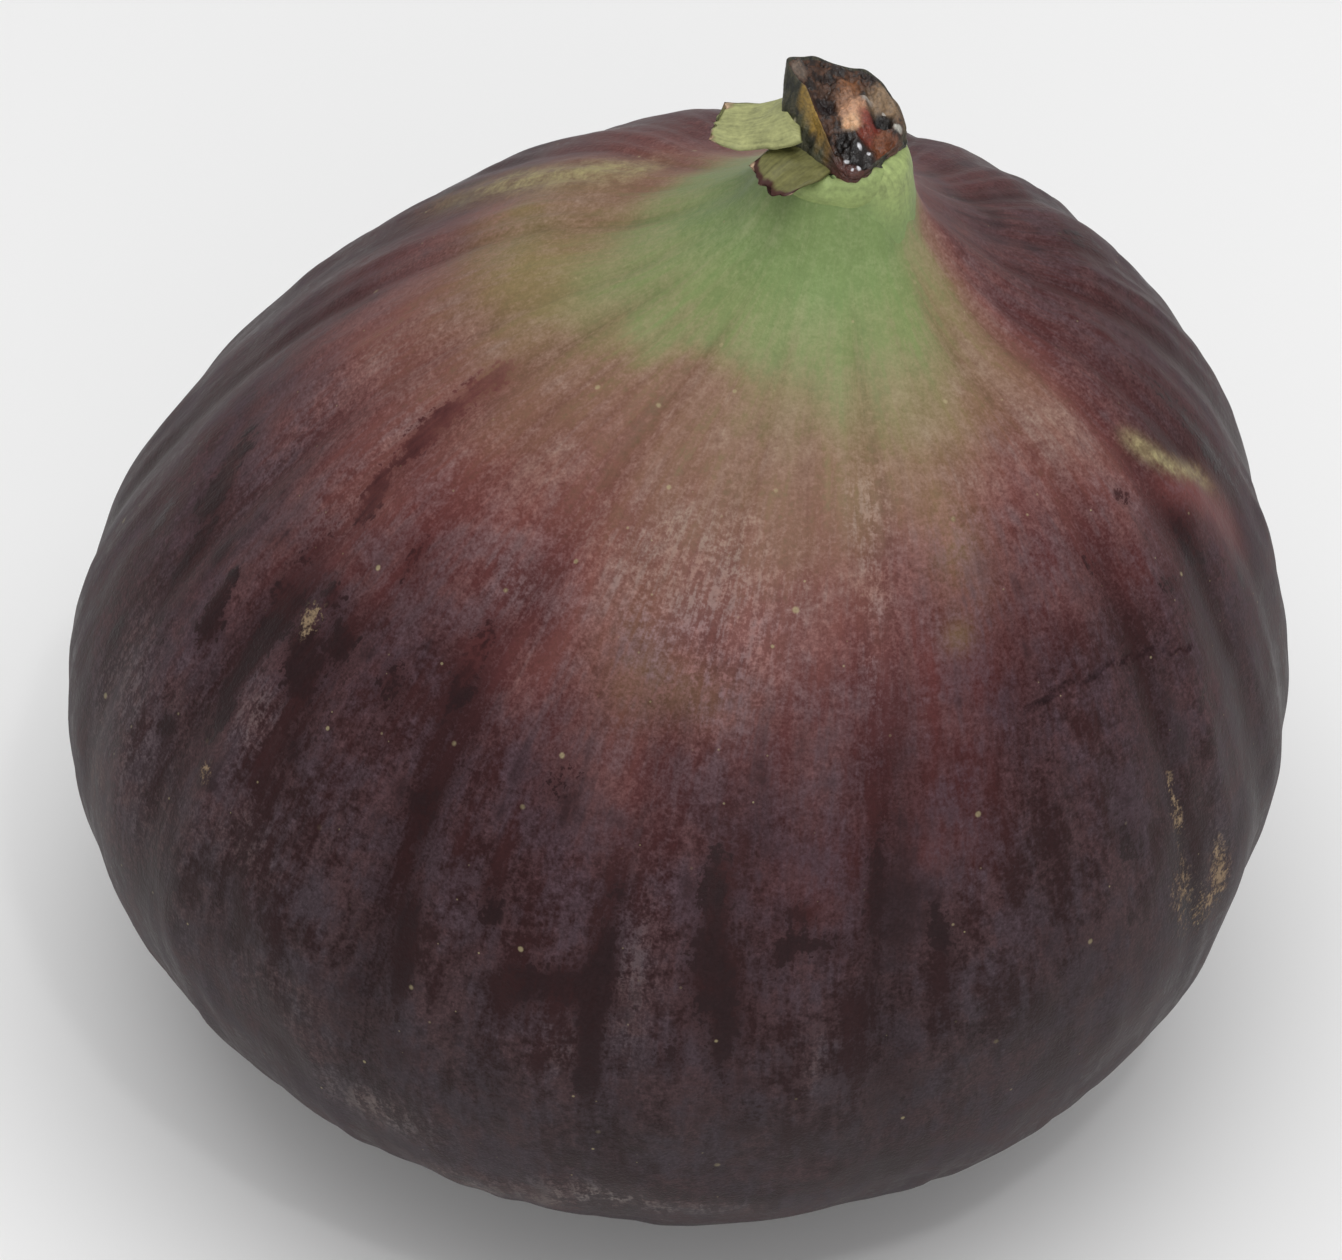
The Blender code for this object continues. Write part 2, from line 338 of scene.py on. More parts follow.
# %% Fields on the skin
ZONES = np.array([
    # azimuth, and the heights in mm where green ends and where rose, plum and the darkest tone begin
    (-180, 47.3, 45.8, 38.3, 33.2), (-165, 47, 46, 39, 33.2), (-150, 47.3, 46, 39.5, 35),
    (-135, 47.7, 46.9, 40.6, 36.6), (-120, 48, 46.7, 38.5, 34.5), (-107, 48, 46.1, 37.8, 32.5),
    (-95, 47.8, 45.9, 38.8, 33.3), (-82, 47.9, 45.5, 40.2, 34.5), (-70, 48.2, 45.7, 42.6, 37.7),
    (-60, 48, 46, 43.3, 38), (-50, 48.4, 46.9, 44.1, 37.6), (-42, 50.2, 46.7, 42.8, 38.5),
    (-30, 51.5, 47, 42.2, 38), (-20, 51.9, 50.8, 46.6, 39.5), (-5, 52.3, 51.6, 49.9, 41),
    (15, 52.5, 51.9, 50.8, 42.5), (35, 52.1, 51.4, 50, 43), (60, 51.2, 50.4, 48.4, 42.5),
    (100, 50.2, 49.2, 46.8, 41.5), (125, 49, 48, 45.4, 40), (144, 48, 47, 43.6, 38),
    (165, 47.6, 46, 40.5, 34.5), (180, 47.3, 45.8, 38.3, 33.2),
])


def ripeness(azimuth, z):
    """0 above the green's end, 0.2 at it, 0.4, 0.65 and 0.85 where rose, plum and dark begin, 1 far below."""
    degrees = np.degrees(turned_from(azimuth, 0.0))
    green, rose, plum, dark = (np.interp(degrees, ZONES[:, 0], ZONES[:, k]) for k in (1, 2, 3, 4))

    def down(top, bottom):
        """0 above one height, 1 below another, straight between them."""
        return np.clip((top - z) / (top - bottom), 0, 1)

    ripe = 0.2 * down(green + 3.0, green) + 0.2 * down(green, rose)
    return ripe + 0.25 * down(rose, plum) + 0.2 * down(plum, dark) + 0.15 * down(dark, dark - 14.0)


# A patch: azimuth, height, half-width across and half-length along in mm, slant, strength
RUBBED_AND_SHADE = [
    (-157.8, 34.5, 0.6, 0.6, 0.2, 1), (-157.2, 32.9, 0.5, 0.9, 0.1, 1), (-157.6, 31, 0.38, 1.2, 0, 1.1),
    (-156.2, 29.2, 0.3, 0.9, -0.2, 1), (-152, 34.2, 0.7, 0.7, 0.2, 0.95), (-149.4, 33, 0.6, 0.8, 0.3, 0.9),
    (-148.4, 35.3, 0.5, 0.45, 0.2, 0.7), (-152.8, 36.2, 0.6, 0.45, 0.3, 0.8),
    (-161.9, 44.3, 0.4, 0.7, 0.1, 0.9), (-109.6, 26.9, 1.4, 0.6, 0, 0.9), (-106.4, 26.6, 0.42, 3.3, 0, 1.1),
    (-96.2, 31.8, 0.45, 1.6, 0.05, 1), (-95.6, 28.6, 0.6, 1.3, 0.1, 1), (-94.2, 25.2, 0.36, 1.5, 0, 0.95),
    (-114, 26.1, 0.7, 0.9, 0, 0.5), (-87.3, 31.1, 0.5, 0.4, 0.3, 1), (-88.6, 29.4, 0.4, 0.7, -0.3, 0.9),
    (-85, 29.6, 0.8, 0.4, 0.4, 0.7), (-79.3, 31.4, 0.35, 2.4, 0, 1), (-72.9, 29.5, 0.4, 1.2, 0.2, 0.9),
    (-50.3, 30.2, 0.6, 1.3, 0.2, 0.7), (-126, 25.6, 0.42, 2.4, 0.12, 0.95),
    (-131.3, 37, 0.5, 1.6, 0.1, 0.9), (-129.5, 31.9, 0.7, 1.2, 0, 0.6), (-138.4, 35.3, 0.7, 0.8, 0.3, 0.7),
    (-164.6, 31.3, 0.5, 0.8, 0.2, 1.2), (-166.4, 32.8, 0.3, 0.8, 0.1, 1.1),
    (-162.4, 27.1, 0.5, 0.7, 0.3, 0.9), (-161.2, 42.1, 0.5, 2, 0.1, 1.2),
    (-158.4, 39.1, 0.45, 0.8, 0.3, 1.1), (-182.4, 34.9, 0.5, 0.7, 0.2, 1.2),
    (-179.4, 33.5, 0.6, 0.9, 0.2, 1.4), (176.2, 30.5, 0.5, 0.9, 0.1, 0.9),
    (-177.2, 26.4, 0.4, 0.8, 0.2, 0.8), (-175.2, 31.9, 0.35, 1.1, 0.2, 1.3),
    (-146.6, 39, 0.35, 0.9, 0.2, 0.7), (-147.2, 35.2, 0.4, 0.6, 0.1, 0.7),
    (-114.5, 35, 0.8, 0.8, -0.6, 0.5), (-118.5, 29.2, 0.4, 0.8, 0.1, 0.6),
    (-145.8, 30.7, 0.5, 0.5, -0.1, 0.6), (-33.5, 38.8, 0.5, 0.5, 0.4, 0.7),
    (-32.9, 42.4, 0.35, 0.45, 0.2, 0.6), (-44.1, 41.3, 0.4, 0.8, 0.3, 0.5), (-25.7, 39, 0.45, 2.4, 0, 0.9),
    (-9.5, 40.5, 0.5, 3.6, 0, 0.8), (22.4, 45, 0.6, 1.8, -0.1, 0.6), (-98.9, 24.2, 0.4, 0.5, 0, 0.7),
    (-106.5, 22.2, 0.4, 0.5, 0, 0.9), (-115.5, 20.4, 0.4, 0.7, 0.1, 0.5), (-170, 29, 0.4, 0.4, 0, 0.7),
    # The last patch in the row below, broad and weak, is painted shade that darkens the belly's lower front
    (-91.5, 21, 0.5, 0.8, 0.1, 0.4), (-62, 24, 0.5, 1.4, 0.1, 0.4), (-84, 24, 5, 5, 0, 0.17),
    (-100, 28, 3, 4, 0, 0.15), (-150, 34, 2.6, 2, 0.3, 0.25), (-160, 36, 1, 3, 0.3, 0.3),
    (-122, 31, 2, 3, 0.2, 0.15),
]
DUSTY_AND_SHEEN = [
    (-107, 42.4, 2.6, 2.4, 0, 0.7), (-99, 40.6, 1.6, 2.8, 0, 0.5), (-80.5, 45, 0.8, 1, 0, 0.9),
    (-79.5, 41.6, 0.45, 3, 0, 0.6), (-153, 30.8, 1.1, 1.2, 0, 0.45), (-103.3, 28.5, 0.9, 3, 0, 0.35),
    (-109.2, 24.1, 0.6, 1.2, 0, 0.25), (-160, 39, 1, 3.2, 0.2, 0.3), (-132, 40.2, 1, 0.9, 0, 0.35),
    (-49.5, 17.8, 1.4, 1.4, -0.5, 0.4), (-107.3, 13.4, 1.8, 0.9, 0, 0.9), (-84.9, 24.2, 0.8, 1.2, 0, 0.2),
    (-11.5, 28, 0.8, 2, -0.2, 0.4), (-171, 27, 1.2, 1.6, 0.5, 0.35), (-138, 20, 2.4, 2, 0, 0.2),
    (-118, 11.4, 3.2, 1.2, 0, 0.9), (-129, 15.8, 2, 1, 0, 0.8), (-98, 12.6, 2.4, 0.7, 0, 0.7),
    # The row below starts with two broad weak patches of painted sheen: paler bloom low on left and right
    (-164, 21, 5, 7, 0, 0.26), (-28, 21, 5, 7, 0, 0.26), (-172, 22, 1.2, 3, 0.3, 0.4),
    (-176, 37, 0.9, 3, 0.2, 0.4), (-146, 26.5, 1.2, 0.9, 0, 0.25),
]
SCABBED = [
    (-153.4, 34.9, 0.45, 0.55, 0, 0.95), (-43.6, 25.4, 0.7, 1, 0, 0.6), (-41, 23.2, 1.1, 1, 0.3, 0.6),
    (-37.2, 24.4, 0.45, 1.5, 0, 0.8), (-42.4, 29.6, 0.3, 1.6, 0, 0.65), (-154.3, 27.5, 0.35, 0.3, 0, 0.7),
    (72, 24, 1.2, 0.8, 0, 0.8), (108, 17, 0.7, 0.6, 0, 0.9), (40, 33, 0.3, 1.2, 0, 0.8),
]
OLIVE = [
    (174, 45.6, 3, 2, 0, 0.6), (159, 44.9, 2.4, 1.8, 0, 0.8), (-174, 45.6, 2.4, 1.4, 0, 0.5),
    (-66, 43.9, 1.1, 2.1, 0.1, 0.8), (-68, 40.9, 0.5, 0.5, 0, 0.8), (-81, 45.4, 0.8, 1.8, 0, 0.4),
    (-104, 39, 1.8, 1, 0, 0.35), (-113, 40, 1.2, 2, 0.2, 0.3), (-60, 46.4, 2.4, 1.2, 0, 0.5),
    (90, 42, 1.4, 2.4, 0, 0.5),
]
RED = [
    (-69, 39.4, 2, 1.3, 0.1, 0.6), (-64, 41.8, 3, 2.4, 0, 0.45), (-72, 35.5, 2.4, 1.6, 0, 0.4),
    (-72.5, 37.6, 1.3, 1, 0.4, 0.3), (-73.5, 32.9, 0.5, 0.5, 0, 0.8), (-142, 42, 2.6, 2.2, 0, 0.5),
    (-152, 40, 2.4, 1.6, 0, 0.3), (-125, 42.5, 1.6, 1.8, 0, 0.3), (-92, 37.5, 1.6, 1.6, 0, 0.3),
    (-86, 32.5, 1.8, 1.6, 0, 0.4), (-70, 33, 1.6, 1.4, 0, 0.4), (-35, 40, 1.6, 1.6, 0, 0.25),
]
# On the hidden back chance rubs patches off: the limits of each number, in the same order
BACK = ((22, 130), (13, 42), (0.35, 1.1), (0.6, 2.8), (-0.2, 0.3), (0.6, 1.1))
BACK_PATCHES = 46
behind = np.random.default_rng(29)
RUBBED_AND_SHADE += [tuple(behind.uniform(*limits) for limits in BACK) for _ in range(BACK_PATCHES)]
print("rubbed patches", len(RUBBED_AND_SHADE), "dusty_and_sheen", len(DUSTY_AND_SHEEN), "scabs", len(SCABBED))

# %% [markdown]
# ## Soft patches and streaks
#
# A mark could be a picture laid on the skin, but the skin would have to be unwrapped first. Here each mark is
# a bell curve of the distance from its place, measured along the skin, so it keeps its size wherever it lies.

# %% Patches, streaks and the crack
CRACK = ((-61, -58, -52, -47, -43, -38.5, -33), (37.4, 37.8, 37.9, 37.7, 37.3, 36.7, 35.7))


def height_to_run(z):
    """Distance along the outline from the neck's top, for heights above the outline's lowest point."""
    lowest = RUN[np.argmin(LINE[:, 1])]
    keep = RUN <= lowest
    return np.interp(-np.asarray(z, float), -LINE[keep, 1], RUN[keep])


def patches(azimuth, r, run, spots):
    """A sum of soft patches: each a bell curve of the distance in mm across and along the skin, slanted."""
    total = np.zeros(np.broadcast(azimuth, run).shape)
    for where, height, across, along, slant, strength in spots:
        off = turned_from(azimuth, where) * np.maximum(r, 2.0)
        down = run - height_to_run(height)
        total += strength * np.exp(-0.5 * (((off - slant * down) / across) ** 2 + (down / along) ** 2))
    return total


def pale_streak(azimuth, r, run, top, course, width, length):
    """A pale ridge: a bell curve across a line whose azimuth changes on its way down, soft at both ends."""
    down = run - height_to_run(top)
    across = turned_from(azimuth, np.interp(down, *course)) * np.maximum(r, 2.0)
    ends = ease((down + 0.8) / 1.6) * (1 - ease((down - 0.45 * length) / (0.75 * length)))
    return np.exp(-0.5 * (across / width) ** 2) * ends, across, down


def crack_distance(azimuth, z):
    """Distance in mm from the fine dark line that crosses the right side, far away beyond its two ends."""
    degrees = np.degrees(turned_from(azimuth, 0.0))
    course = np.interp(degrees, *CRACK) + 0.12 * np.sin(degrees * 0.9)
    beyond = np.maximum(0.0, np.abs(degrees + 47.5) - 13.0)
    return np.clip(np.abs(z - course) + 0.1 * beyond, 0.0, 4.0)


# %% [markdown]
# ## Laying the fine skin
#
# Four hundred and eighty points round and two hundred down put a point about every 0.4 mm, fine enough for
# the creases. The grid is moved by the same shift that stood the solid fruit on the floor, read from its box.

# %% Fine skin
AROUND, DOWN = 480, 200
POLE_GAP = 0.25
azimuth, run = np.meshgrid(
    np.linspace(-np.pi, np.pi, AROUND, endpoint=False) + np.radians(90.0),
    np.linspace(RUN[-1] - POLE_GAP, POLE_GAP, DOWN),
)
r, z = np.interp(run, RUN, LINE[:, 0]), np.interp(run, RUN, LINE[:, 1])
place = np.stack([r * np.cos(azimuth), r * np.sin(azimuth), z], -1)
relief = fine_relief(azimuth, r, z, place)
way_r, way_z = np.gradient(r, axis=0), np.gradient(z, axis=0)
length = np.hypot(way_r, way_z)
x, y, up = upright_skin(azimuth, r, z, relief * way_z / length)
skin_points = askew(x, y, up - relief * way_r / length)

low, high = (np.array(corner) * 1000 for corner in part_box("fruit"))
coarse = askew(*upright_skin(azimuth, r, z))
SHIFT = np.array([
    (coarse[..., 0].min() + coarse[..., 0].max() - low[0] - high[0]) / 2,
    (coarse[..., 1].min() + coarse[..., 1].max() - low[1] - high[1]) / 2,
    askew(0.0, 0.0, TOP)[2] - high[2],
])
print("shift that stands the fig in its place, mm:", SHIFT.round(3))
skin_points = skin_points - SHIFT
skin_points[..., 2] = np.maximum(skin_points[..., 2], 0.0)


def in_place(points):
    """Points round the upright axis moved askew with the fruit, and then by the shift."""
    return askew(points[..., 0], points[..., 1], points[..., 2]) - SHIFT


# %% [markdown]
# ## Streaks, furrows and fibres
#
# Two pale ridges run down the skin, one on the right with a blush beside it and one on the back. The furrows
# are drawn again as a field, so that their colour goes a little wider than their dent. The field flow has
# the azimuth as a point on a circle and the way down shrunk to a fifth, so a noise read from it is drawn out
# into fibres along the ribs.

# %% Fields laid on the skin
CREST = ((0.1, 1.3, 2.7, 4.9, 7.3, 9.3, 11.5), (-23.3, -22.3, -20.5, -15.9, -13.9, -13.3, -13.1))
BACK_RIB = ((0, 1.8, 4, 7.7, 12), (137, 140.6, 143.6, 142.4, 142.2))
FLOW_ROUND, FLOW_DOWN = 28.0, 0.2
crest, across, down = pale_streak(azimuth, r, run, 43.4, CREST, 0.34, 6.8)
rib = pale_streak(azimuth, r, run, 46.8, BACK_RIB, 0.85, 12.0)[0]
blush = np.exp(-0.5 * ((across + 0.9) / 0.9) ** 2)
blush *= ease((down - 1.5) / 3.0) * (1 - ease((down - 8.0) / 5.0))
dip = np.exp(-0.5 * ((across - 1.0) / 0.5) ** 2)
dip *= ease((down + 1.0) / 3.0) * (1 - ease((down - 7.0) / 4.0))
furrow = furrow_depth(azimuth, 3.4) * furrow_strength(r, z)
furrow = furrow + 0.22 * ease(-neck_folds(azimuth)) * ease((z - 45.0) / 3.0) + 0.9 * dip
wander = waves(place, 8.0, 11) + 0.5 * waves(place, 3.2, 12)
ripe_height = z + (0.3 + 0.6 * ease((46.0 - z) / 6.0)) * wander
skin = mesh_from_rings("skin", skin_points, {
    "ripe": ripeness(azimuth, ripe_height),
    "furrow": furrow,
    "rubbed_and_shade": 1.2 * patches(azimuth, r, run, RUBBED_AND_SHADE),
    "dusty_and_sheen": patches(azimuth, r, run, DUSTY_AND_SHEEN),
    "scabbed": patches(azimuth, r, run, SCABBED),
    "olive": patches(azimuth, r, run, OLIVE),
    "red": patches(azimuth, r, run, RED),
    "crest": crest + 0.9 * rib,
    "blush": blush,
    "crack": crack_distance(azimuth, z),
    "flow": np.stack([np.cos(azimuth), np.sin(azimuth), run / FLOW_ROUND * FLOW_DOWN], -1),
})
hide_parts("fruit")
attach(skin, "root")


def on_skin(degrees, height):
    """The place in metres of the skin point at an azimuth in degrees and a height in mm."""
    at = height_to_run(height)
    r, z = np.interp(at, RUN, LINE[:, 0]), np.interp(at, RUN, LINE[:, 1])
    return [float(v) for v in (askew(*upright_skin(np.radians(degrees), r, z)) - SHIFT) * 0.001]


# %% [markdown]
# ## The cut stalk
#
# The stalk was cut on the slant and split away on two sides, so the stub is a short post with a sloping top
# and two flat flanks. It dries dark, with ridges down its side, and the cut shrinks round a pale core. A
# tilted plane would be too tidy for the cut, so its rim has a height at each azimuth. The stub is made like
# the fruit, from rings, but its radius and height change round the ring.

# %% Cut stalk
STALK_RADIUS = 2.95
STALK_FOOT = TOP + 0.35
RIM = np.array([
    # azimuth, height over the foot in mm
    (-180, 2.85), (-165, 2.5), (-144, 2.0), (-120, 1.45), (-103, 1.0), (-88, 0.45), (-70, 0.3), (-40, 0.35),
    (-15, 0.6), (0, 0.75), (31, 1.55), (57, 1.95), (83, 2.05), (110, 2.55), (130, 3.05), (146, 3.4),
    (158, 3.3), (168, 3.1), (180, 2.85),
])
# A flat flank: the azimuth that it faces, its distance from the axis, how much it leans in for each mm up
FLATS = [(-135.0, 1.92, 0.3), (-40.0, 2.45, 0.0)]
# A pit or a lump on the cut: its place, its two half-widths and its depth or height, all in mm
PITS = [
    (-0.85, 0.2, 0.35, 0.5, 0.5), (1.85, 0.25, 0.45, 0.33, 0.5), (0.05, -1.35, 0.3, 0.4, 0.35),
    (0.8, -2.0, 0.9, 0.35, 0.2), (1.1, 1.3, 0.5, 0.2, 0.2), (-1.1, 1.3, 0.5, 0.25, 0.25),
    (1.2, -1.0, 0.4, 0.25, 0.25),
]
LUMPS = [(0.5, -0.05, 0.5, 0.75, 0.25), (2.5, -0.05, 0.16, 0.16, 0.3), (1.05, 0.95, 0.2, 0.15, 0.15)]
WALL_ROWS, CUT_ROWS = 40, 64


def rim_height(a, middle=1.8, inward=1.0):
    """Height of the cut over the stub's foot: the rim's height by azimuth, sagging to a middle height."""
    degrees = np.degrees(a)
    rim = np.interp(degrees, RIM[:, 0], RIM[:, 1])
    soft = sum(np.interp((degrees + d + 180) % 360 - 180, RIM[:, 0], RIM[:, 1]) for d in (-8, -4, 4, 8)) / 4
    return middle + (0.4 * rim + 0.6 * soft - middle) * inward ** 1.5


def stalk_radius(a, level):
    """The stub's radius: a near circle, let in softly by flat sides that may lean inwards as they rise."""
    full = STALK_RADIUS * (1 + 0.02 * np.cos(3 * a + 0.6)) * (1.0 - 0.01 * level)
    sides = [full + 0 * level]
    for way, near, lean in FLATS:
        sides.append((near - lean * level) / np.maximum(np.cos(a - np.radians(way)), 0.2))
    return -np.log(sum(np.exp(-7 * np.minimum(side, 5)) for side in sides)) / 7


def stalk_rings(around=224):
    """Rings up the wall, over the rim and in across the cut, and how far out each is, 1 on the wall."""
    share = np.r_[np.linspace(0.0, 1.0, WALL_ROWS), np.full(CUT_ROWS, 1.0)][:, None]
    inward = np.r_[np.ones(WALL_ROWS), np.linspace(1.0, 0.02, CUT_ROWS + 1)[1:]][:, None]
    a = np.linspace(-np.pi, np.pi, around, endpoint=False)[None, :]
    a, share, inward = np.broadcast_arrays(a, share, inward)
    radius = stalk_radius(a, share * rim_height(a)) * inward
    x, y = radius * np.cos(a), radius * np.sin(a)
    spot = np.stack([x, y, share * 3], -1)
    wall = (inward > 0.999) * ease(share * 3) * ease((1.02 - share) * 4)
    ridges = 0.05 * np.cos(19 * a + 3 * waves(spot, 3.0, 21))
    ridges = ridges + 0.06 * waves(spot, 1.1, 22) + 0.07 * waves(spot, 2.4, 26)
    x, y = x * (1 + wall * ridges / STALK_RADIUS), y * (1 + wall * ridges / STALK_RADIUS)
    face = ease((1.0 - inward) * 9)
    rough = 0.15 * waves(spot, 1.5, 23) + 0.10 * waves(spot, 0.7, 24) + 0.05 * waves(spot, 0.35, 27)
    high = share * rim_height(a, inward=inward) + face * rough
    for sign, marks in ((-1, PITS), (1, LUMPS)):
        for px, py, wide, tall, size in marks:
            away = ((x - px) / wide) ** 2 + ((y - py) / tall) ** 2
            high = high + sign * face * size * np.exp(-0.5 * away)
    high = high + 0.12 * waves(spot, 1.3, 25) * ease(share * 4 - 3) * (1 - face)
    foot = STALK_FOOT - 0.75 * (1 - ease(share * 5))
    return np.stack([x - 0.06 * high, y, foot + np.maximum(high, 0.02)], -1), inward


rings, inward = stalk_rings()
stalk = mesh_from_rings("stalk", in_place(rings), {
    "cut": ease((1.0 - inward) * 12),
    "local": rings - np.array([0.0, 0.0, STALK_FOOT]),
})
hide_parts("stem")
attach(stalk, "root")

# %% [markdown]
# ## The bracts
#
# Three small leaf-like scales grow round the stalk's foot. One sticks out with a torn brown edge, one is a
# broken stump, and one lies pale and broad on the neck. A scale could be a flat card with a thickness, but
# its edge would look cut by scissors: here a closed ring runs over the upper face and back under the lower
# one, and is carried from root to tip, so that the scale thins towards its edges.

# %% Bracts
def scale_rings(azimuth_deg, path, half_width, thick, ragged, seed, taper=0.35, cup=0.3, soft=0.0):
    """A scale as rings: each runs across the upper face and back along the lower, carried along a path.

    Its half-thickness falls to the sides as the root of 1 - s cubed. When soft is 1 it falls as the square of
    1 - s squared, and the edge sinks below its path, so that the scale melts into the skin under it.
    """
    rows, half = 46, 26
    line = smooth_line(path, 0.05)
    step = np.r_[0, np.cumsum(np.linalg.norm(np.diff(line, axis=0), axis=1))]
    t = np.linspace(0, 1, rows)[:, None]
    r = np.interp(t * step[-1], step, line[:, 0])
    z = np.interp(t * step[-1], step, line[:, 1])
    s = np.concatenate([np.linspace(-1, 1, half), np.linspace(1, -1, half)])[None, :]
    side = np.concatenate([np.ones(half), -np.ones(half)])[None, :]
    width = half_width * (1 - taper * t**2) * (1 + 0.05 * np.cos(9 * t + seed))
    a = np.radians(azimuth_deg) + s * width / np.maximum(r, 1.0)
    rng = np.random.default_rng(seed)
    torn = 0.0
    for k in (2.3, 4.1, 7.7, 12.9, 19.0):
        torn = torn + rng.uniform(0.4, 1.0) * np.cos(k * s + rng.uniform(0, 6.3))
    reach = r + ragged * ease(t * 1.6 - 0.6) * torn / 2.2
    slope_r, slope_z = np.gradient(r[:, 0]), np.gradient(z[:, 0])
    size = np.hypot(slope_r, slope_z)
    up_r, up_z = (-slope_z / size)[:, None], (slope_r / size)[:, None]
    blunt = np.sqrt(np.clip(1.0 - t**10, 0, 1))
    sharp = thick * np.sqrt(np.clip(1 - np.abs(s) ** 3, 0, 1)) * (1 - 0.55 * t) * blunt / 2
    swell = (1 - s * s) ** 2 * (1 - t * t) ** 2
    smooth = thick * swell * (0.35 + 0.65 * ease(3 * t)) / 2
    body = (1 - soft) * sharp + soft * smooth
    bend = (1 - soft) * (cup * s * s * t + 0.06 * np.cos(5 * s + seed) * t) - soft * 0.14 * (1 - swell)
    lift = side * body + bend
    out = reach + lift * up_r
    point = np.stack([out * np.cos(a), out * np.sin(a), z + lift * up_z], -1)
    point[..., 2] += 0.03 * (1 - 0.6 * soft) * waves(point, 0.9, seed + 40)
    return point, t + 0 * s, s + 0 * t


def make_scale(name, *shape, **more):
    """One bract from its rings, moved askew with the neck."""
    point, along, across = scale_rings(*shape, **more)
    thing = mesh_from_rings(name, in_place(point), {"along": along, "across": across})
    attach(thing, "root")
    return thing


def neck_radius(z):
    """The neck's radius at a height."""
    return float(np.interp(height_to_run(z), RUN, LINE[:, 0]))


# Each path goes from root to tip, as radius and height
sticking_out = [(2.3, TOP + 1.45), (3.3, TOP + 0.72), (4.4, TOP + 0.15), (5.75, TOP + 0.05)]
broken_off = [(1.7, TOP + 0.25), (3.1, TOP + 0.2), (4.35, TOP - 0.2)]
hugging = [(2.45, TOP + 0.45), (2.9, TOP + 0.1), (3.05, TOP - 0.5)]
for below, off in ((1.2, 0.12), (2.0, 0.1), (2.8, 0.06), (3.5, 0.0)):
    hugging.append((neck_radius(TOP - below) + off, TOP - below))
bract_left = make_scale("bract_left", 168.0, sticking_out, 2.0, 0.7, 0.25, 5, taper=0.35, cup=0.2)
bract_front = make_scale("bract_front", -141.0, broken_off, 1.6, 0.55, 0.24, 8, taper=0.1)
bract_right = make_scale("bract_right", -20.0, hugging, 3.4, 0.95, 0.04, 13, taper=0.1, soft=1.0)

# %% [markdown]
# ## The collar
#
# Between the scales, what is left of the bracts' ring shows as a low, rough roll that hugs the stalk's foot,
# so that no gap shows between neck and stalk. It is an oval section carried round the axis. Its inner side
# follows the stub's own outline, and its upper edge has a height at each azimuth.

# %% Collar
LIP = np.array([
    # azimuth, height of the collar's top over the neck's in mm
    (-180, 0.6), (-150, 0.3), (-125, 0.1), (-100, 0.25), (-85, 0.38), (-60, 0.52), (-20, 0.52), (0, 0.45),
    (60, 0.3), (120, 0.3), (165, 0.6), (180, 0.6),
])
COLLAR_RADIUS = 3.06
COLLAR_DEPTH = 1.5


def collar_rings(around=200, section=28):
    """An oval section between the stub's outline and the neck's, its top at the lip's height."""
    a = np.linspace(-np.pi, np.pi, around, endpoint=False)[None, :]
    b = np.linspace(0.0, 2 * np.pi, section, endpoint=False)[:, None]
    circle = np.stack([3.2 * np.cos(a), 3.2 * np.sin(a), 0 * a], -1)
    inner = stalk_radius(a, 0 * a) - 0.5
    outer = COLLAR_RADIUS + 0.04 * waves(circle, 1.8, 31)
    lip = np.interp(np.degrees(a), LIP[:, 0], LIP[:, 1]) + 0.06 * waves(circle, 1.2, 32)
    rr = (inner + outer) / 2 + (outer - inner) / 2 * np.cos(b)
    zz = TOP + (lip - COLLAR_DEPTH) / 2 + (lip + COLLAR_DEPTH) / 2 * np.sin(b)
    return np.stack([rr * np.cos(a), rr * np.sin(a), zz], -1), 0.5 + 0.5 * np.sin(b) + 0 * a


def mesh_from_tube(name, rings, fields):
    """A closed mesh from a grid that joins up both ways, like a tyre."""
    n, m = rings.shape[:2]
    i, j = np.meshgrid(np.arange(n), np.arange(m), indexing="ij")
    p, q = (i + 1) % n, (j + 1) % m
    quads = np.stack([i * m + j, i * m + q, p * m + q, p * m + j], -1).reshape(-1, 4)
    return add_piece(name, rings, quads.tolist(), fields)


roll, raised = collar_rings()
collar = mesh_from_tube("collar", in_place(roll), {"along": raised, "across": 0 * raised})
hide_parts("bracts")
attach(collar, "root")

# %% [markdown]
# ## The eye
#
# Under the fig the eye is closed by tiny scales that overlap like tiles and point inwards. Each is a short
# tongue, and three rings of them, each turned by half a scale, close the opening.

# %% Eye scales
TONGUE_ROWS, TONGUE_SIDES = 9, 12


def eye_rings(ring_radius, turn, tilt, length, seed):
    """One small tongue as rings: an oval section carried from the eye's wall towards its middle."""
    rng = np.random.default_rng(seed)
    t = np.linspace(0, 1, TONGUE_ROWS)[:, None]
    b = np.linspace(0, 2 * np.pi, TONGUE_SIDES, endpoint=False)[None, :]
    wide = 0.62 * np.sqrt(np.clip(1 - 0.85 * t**2, 0.02, 1)) * rng.uniform(0.85, 1.15)
    along = ring_radius - length * t
    across = wide * np.cos(b)
    height = 1.25 - tilt * np.sin(t * 2.2) + 0.16 * np.sin(b) * (1 - 0.6 * t) + 0.12 * (across / 0.6) ** 2
    x = along * np.cos(turn) - across * np.sin(turn)
    y = along * np.sin(turn) + across * np.cos(turn)
    return np.stack([x, y, height], -1)


